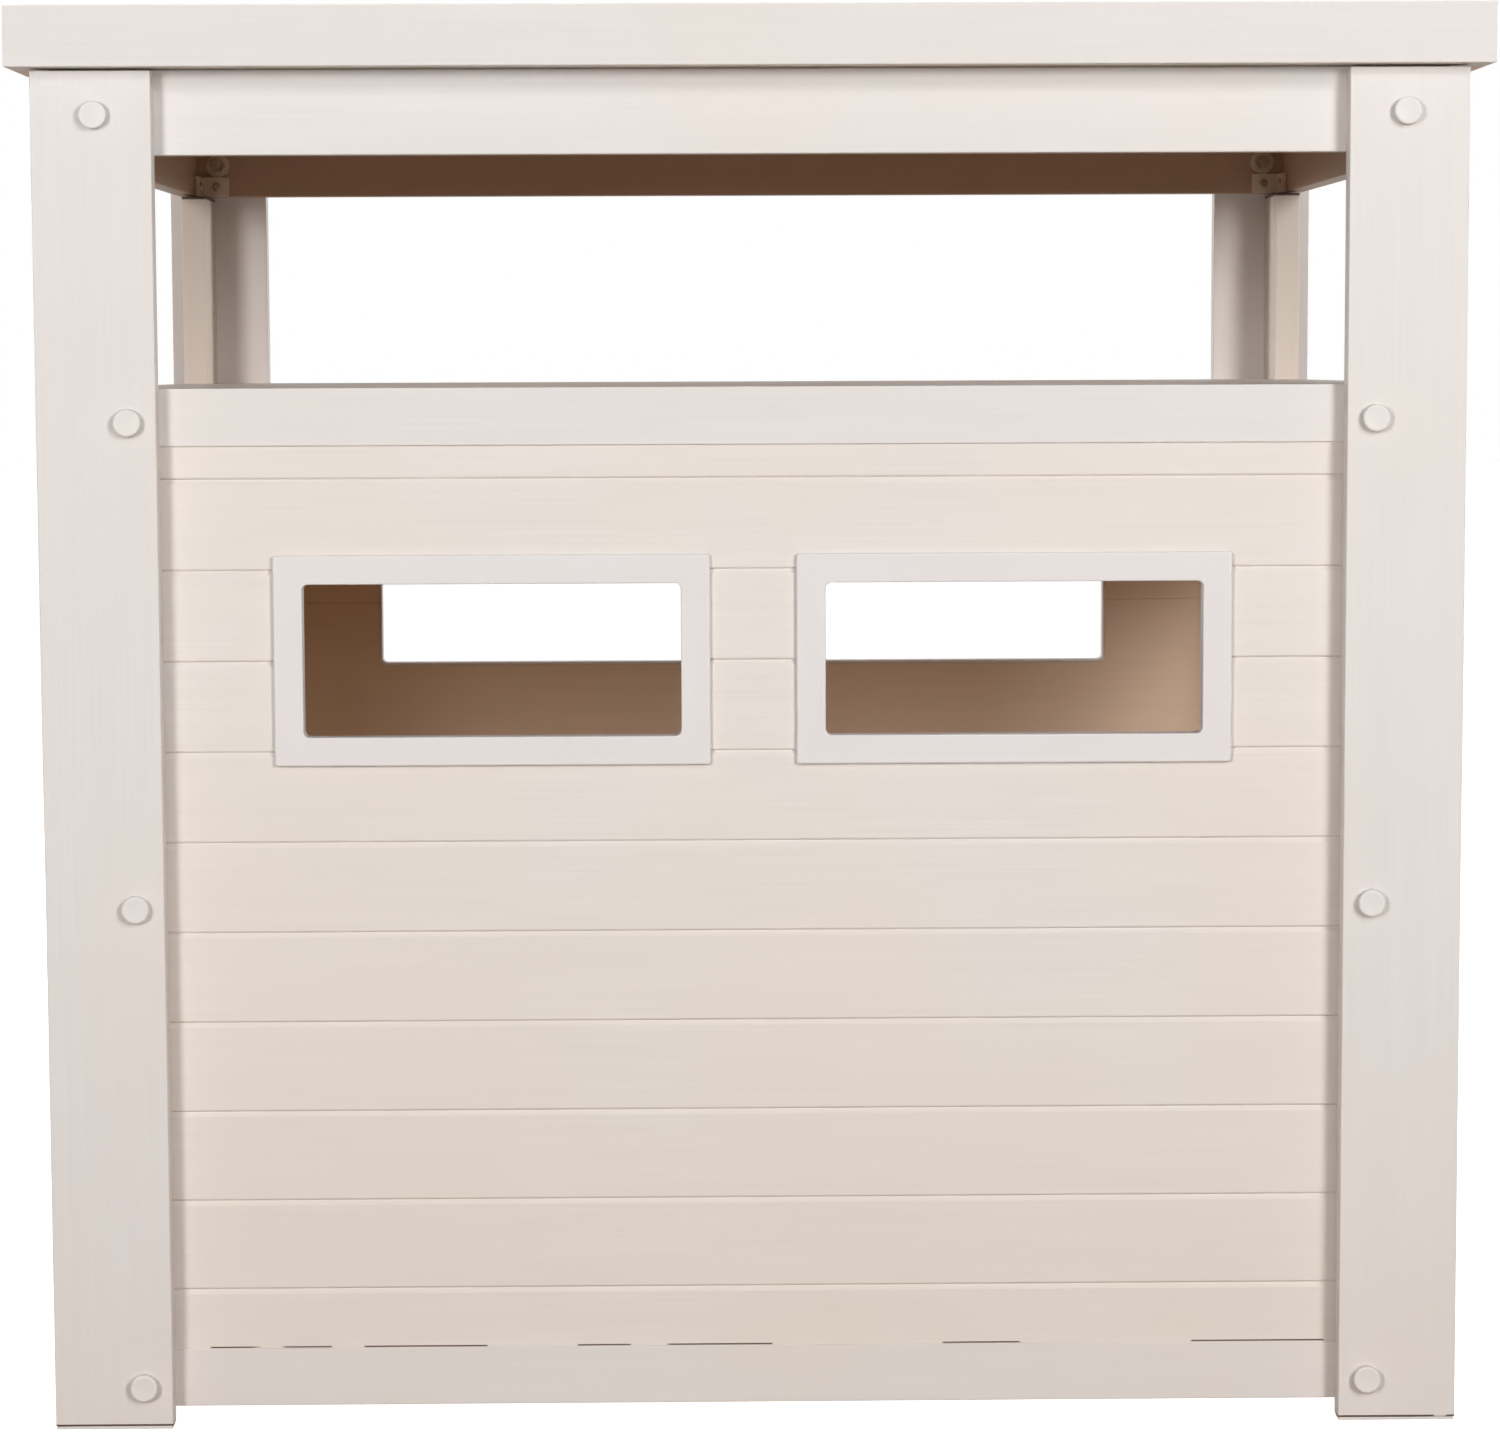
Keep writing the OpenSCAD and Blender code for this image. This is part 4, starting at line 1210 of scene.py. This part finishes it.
@dataclass
class Doorway:
    """Trims that cap the cut edges of the panels round the doorway."""

    flange: float = 24 * MM
    web: float = 2.5 * MM

    def section(self, outer: float) -> Outline:
        """Trim section: a web on the opening and a flange on each face, first axis away from it."""
        f, w = self.flange, self.web
        far = outer - w
        corners = np.array([[0, 0], [f, 0], [f, w], [w, w], [w, far], [f, far], [f, outer], [0, outer]])
        return rounded(corners, np.array([1.4, 0.9, 0.8, 0.4, 0.4, 0.8, 0.9, 1.4]) * MM)

    def build(self, shop: Workshop) -> None:
        """Builds the two jambs and the lintel."""
        for node, sign in (("door_jamb_front", -1), ("door_jamb_rear", 1)):
            low, high = shop.box(node)
            shape = sweep(self.section(high[0] - low[0]), 0.0, high[2] - low[2])
            inner = high[1] if sign < 0 else low[1]
            placed = shape.moved((2, 1, 0), np.array([1, sign, 1]), np.array([low[0], inner, low[2]]))
            shop.make(node, [placed], Slot.FRAME_BOARD)
        low, high = shop.box("door_lintel")
        shape = sweep(self.section(high[0] - low[0]), low[1], high[1])
        placed = shape.moved((1, 2, 0), np.ones(3), np.array([low[0], 0.0, low[2]]))
        shop.make("door_lintel", [placed], Slot.FRAME_BOARD)


@dataclass
class BoltFittings:
    """Caps outside, washers and brackets inside, and the steel that goes with them."""

    lower_x: float = 516.5 * MM
    upper_x: float = 540 * MM
    heights: tuple[float, ...] = (36.5 * MM, 443 * MM, 848 * MM, 1100 * MM)
    cap_radius: float = 11.5 * MM
    cap_height: float = 8 * MM
    cap_shoulder: float = 1.9 * MM
    cap_dish: float = 0.55 * MM
    washer_radius: float = 12 * MM
    washer_hole: float = 4.25 * MM
    washer: float = 2 * MM
    washer_edge: float = 0.45 * MM
    bracket: float = 4.5 * MM
    leg: float = 32 * MM
    round_count: int = 48

    def places(self, shop: Workshop) -> list[tuple[float, float, float, float, float]]:
        """Each bolt: x, height, outer face, inner face (both unsigned) and the sign of y."""
        post = shop.box("post_front_left")[0][1]
        rail = shop.box("top_rail_front")[1][1]
        panel = shop.box("front_panel_lower")[1][1]
        out = []
        for i, z in enumerate(self.heights):
            x = self.upper_x if i == 3 else self.lower_x
            inner = panel if i == 1 else rail
            out += [(sx * x, z, -post, -inner, sy) for sx in (-1, 1) for sy in (-1, 1)]
        return out

    def cap(self) -> Shape:
        """Cap: a drum with a rounded shoulder and a slightly dished face."""
        r, h, round_off = self.cap_radius, self.cap_height, self.cap_shoulder
        t = np.linspace(0, math.pi / 2, 7)
        shoulder = np.stack([r - round_off + round_off * np.cos(t), h - round_off + round_off * np.sin(t)], 1)
        dish = np.linspace(1, 0.02, 9)[1:]
        face = np.stack([(r - round_off) * dish, h - self.cap_dish * (1 - dish**2) ** 1.2], 1)
        foot = [[r - 1.0 * MM, 0.0], [r - 0.3 * MM, 0.0], [r, 0.3 * MM], [r, 0.8 * MM], [r, h - 2.2 * MM]]
        profile = np.concatenate([foot, shoulder, face])
        run = np.concatenate([[0.0], np.cumsum(np.linalg.norm(np.diff(profile, axis=0), axis=1))])
        edge = np.concatenate([[0, 0.4, 0.6, 0, 0], np.sin(t * 2) * 0.5 + 0.3, np.zeros(len(face))])
        return spin(profile, run, edge, self.round_count, wrap=False)

    def build(self, shop: Workshop) -> None:
        """Builds caps, washers and brackets, and dresses the bolts, nuts and screws."""
        caps, washers = [], []
        r, hole, w = self.washer_radius, self.washer_hole, self.washer
        ring = rounded(np.array([[hole, 0], [r, 0], [r, w], [hole, w]]), self.washer_edge)
        washer = spin(ring.points, around(ring.points), ring.edge, self.round_count, wrap=True)
        cap = self.cap()
        for x, z, outer, inner, sy in self.places(shop):
            caps.append(cap.moved((0, 2, 1), np.array([1, sy, 1]), np.array([x, sy * outer, z])))
            washers.append(washer.moved((0, 2, 1), np.array([1, -sy, 1]), np.array([x, sy * inner, z])))
        shop.make("bolt_caps", caps, Slot.CAP)
        # The washers take the bracket's tan, painted shade, as they sit inside the hutch.
        shop.make("frame_washers", washers, Slot.CAP).data.materials[0] = shop.materials[Slot.BRACKET]
        t, leg = self.bracket, self.leg
        corners = np.array([[0, 0], [leg, 0], [leg, t], [t, t], [t, leg], [0, leg]])
        outline = rounded(corners, np.array([0.8, 1.2, 1.2, 2.0, 1.2, 1.2]) * MM, steps=5)
        for node in ("brackets_top", "brackets_deck", "brackets_base"):
            low, high = shop.box(node)
            angle = sweep(outline, 0.0, high[2] - low[2])
            four = [
                angle.moved((2, 0, 1), np.array([-x, -y, 1]), np.array([x * high[0], y * high[1], low[2]]))
                for x in (-1, 1) for y in (-1, 1)
            ]
            shop.make(node, four, Slot.BRACKET)
        for node in ("frame_bolts", "frame_nuts", "bracket_screws"):
            steel = shop.frame["nodes"][node]
            steel.data.materials.clear()
            steel.data.materials.append(shop.materials[Slot.STEEL])
            log.info("%s: dressed", node)


# ------------------------------------------------------------------------------- studio


@dataclass(frozen=True)
class Lamp:
    """One soft light panel, aimed at a point of the hutch."""

    name: str
    place: Point
    size: tuple[float, float]
    power: float
    colour: Colour
    target: Point = (0.0, -0.2, 0.6)

    def build(self) -> None:
        """Puts the panel in the scene, its -Z towards the target."""
        data = bpy.data.lights.new(self.name, "AREA")
        data.shape, data.size, data.size_y = "RECTANGLE", *self.size
        data.energy, data.color = self.power, self.colour
        lamp = bpy.data.objects.new(self.name, data)
        away = np.array(self.place) - np.array(self.target)
        lamp.matrix_world = facing(np.array(self.place), away)
        bpy.context.scene.collection.objects.link(lamp)


def facing(place: Array, back: Array) -> Matrix:
    """Matrix of something at a place whose own Z points along back, with its X level."""
    z = back / np.linalg.norm(back)
    x = np.cross([0, 0, 1.0], z)
    x = x / np.linalg.norm(x)
    y = np.cross(z, x)
    matrix = np.eye(4)
    matrix[:3, 0], matrix[:3, 1], matrix[:3, 2], matrix[:3, 3] = x, y, z, place
    return Matrix(matrix.tolist())


@dataclass
class Studio:
    """White studio: camera, lights, pale floor and bright surroundings."""

    camera_place: Point = (-0.0437, -3.7159, 0.8967)
    yaw: float = math.radians(-0.707)
    pitch: float = math.radians(-5.148)
    roll: float = math.radians(0.234)
    lens: float = 94.75
    surround: Colour = (1.0, 0.5, 0.2)
    surround_light: float = 0.02
    from_floor: Colour = (1.0, 0.84, 0.67)
    from_floor_light: float = 0.3
    floor_size: float = 60.0
    lamps: tuple[Lamp, ...] = field(default_factory=lambda: (
        Lamp("left_low", (-2.2, -4.4, 1.5), (1.0, 1.0), 88.0, DAY_WHITE),
        Lamp("right_low", (2.2, -4.4, 1.5), (1.0, 1.0), 78.0, DAY_WHITE),
        Lamp("left_high", (-2.4, -4.2, 2.8), (1.0, 1.0), 18.0, DAY_WHITE),
        Lamp("right_high", (2.5, -4.1, 2.8), (1.0, 1.0), 60.0, DAY_WHITE),
        Lamp("rear_left", (-3.4, 3.2, 1.6), (1.5, 1.5), 115.0, DAY_WHITE),
        Lamp("rear_right", (3.4, 3.2, 1.6), (1.5, 1.5), 115.0, DAY_WHITE),
        Lamp("overhead", (0.0, 0.3, 4.6), (1.6, 1.6), 85.0, DAY_WHITE, (0.0, 0.0, 1.19)),
    ))

    def build(self) -> None:
        """Builds the whole studio."""
        self.camera()
        for lamp in self.lamps:
            lamp.build()
        self.world()
        self.floor()
        bpy.context.scene.view_settings.view_transform = "Standard"

    def camera(self) -> None:
        """Camera turned by yaw about Z, then pitch about X, then roll about Y, from looking along +Y."""
        def turn(axis: int, angle: float) -> Array:
            """Right-handed turn about one axis."""
            c, s = math.cos(angle), math.sin(angle)
            m = np.eye(3)
            a, b = (axis + 1) % 3, (axis + 2) % 3
            m[a, a], m[a, b], m[b, a], m[b, b] = c, -s, s, c
            return m
        r = turn(2, self.yaw) @ turn(0, self.pitch) @ turn(1, self.roll)
        data = bpy.data.cameras.new("camera")
        data.sensor_fit, data.sensor_width, data.lens = "HORIZONTAL", 36.0, self.lens
        data.clip_start, data.clip_end = 0.05, 200.0
        camera = bpy.data.objects.new("camera", data)
        matrix = np.eye(4)
        matrix[:3, 0], matrix[:3, 1], matrix[:3, 2] = r[:, 0], r[:, 2], -r[:, 1]
        matrix[:3, 3] = self.camera_place
        camera.matrix_world = Matrix(matrix.tolist())
        bpy.context.scene.collection.objects.link(camera)
        bpy.context.scene.camera = camera

    def world(self) -> None:
        """Surroundings that look white, are white in reflections from behind, and light the hutch weakly."""
        world = bpy.data.worlds.new("surroundings")
        world.use_nodes = True
        tree = NodeTree(world.node_tree)
        seen = tree.add("ShaderNodeBackground", {"Color": (1, 1, 1, 1), "Strength": 1.0})
        light = tree.add("ShaderNodeBackground")
        ray = tree.add("ShaderNodeLightPath")
        mix = tree.add("ShaderNodeMixShader")
        way = tree.split(tree.add("ShaderNodeTexCoord").outputs["Generated"])
        behind = tree.between(way[1], 0.2, 0.7, 0.0, 1.0)
        below = tree.between(way[2], -0.35, 0.0, 1.0, 0.0)
        weak = tuple(np.array(self.surround) * self.surround_light)
        strong = tuple(np.array(self.from_floor) * self.from_floor_light)
        tree.join(tree.mix(below, weak, strong), light.inputs["Color"])
        mirrored = tree.maths("MULTIPLY", ray.outputs["Is Glossy Ray"], behind)
        tree.join(tree.maths("MAXIMUM", ray.outputs["Is Camera Ray"], mirrored), mix.inputs[0])
        tree.join(light.outputs[0], mix.inputs[1])
        tree.join(seen.outputs[0], mix.inputs[2])
        out = tree.add("ShaderNodeOutputWorld")
        tree.join(mix.outputs[0], out.inputs[0])
        bpy.context.scene.world = world

    def floor(self) -> None:
        """Pale floor that shows soft shadows and doesn't tint the hutch from below."""
        half = self.floor_size / 2
        mesh = bpy.data.meshes.new("floor")
        corners = [(-half, -half, 0), (half, -half, 0), (half, half, 0), (-half, half, 0)]
        mesh.from_pydata(corners, [], [(0, 1, 2, 3)])
        floor = bpy.data.objects.new("floor", mesh)
        floor.location.z = -0.2 * MM
        material, tree = new_material("pale_floor")
        shader = tree.add("ShaderNodeBsdfPrincipled", {
            "Base Color": (0.9, 0.9, 0.9, 1), "Roughness": 0.8, "Specular IOR Level": 0.1,
            "Emission Color": (1, 1, 1, 1), "Emission Strength": 1.0,
        })
        out = tree.add("ShaderNodeOutputMaterial")
        tree.join(shader.outputs[0], out.inputs["Surface"])
        mesh.materials.append(material)
        floor.visible_diffuse = False
        floor.visible_glossy = False
        bpy.context.scene.collection.objects.link(floor)


def main() -> None:
    """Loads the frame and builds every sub-assembly in order."""
    logging.basicConfig(level=logging.INFO, format="%(name)s: %(message)s")
    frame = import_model()
    Studio().build()
    shop = Workshop(frame)
    for part in (Roof(), CornerBoards(), Rails(), Siding(), Deck(), Windows(), Doorway(), BoltFittings()):
        log.info("%s", type(part).__name__)
        part.build(shop)


if __name__ == "__main__":
    main()
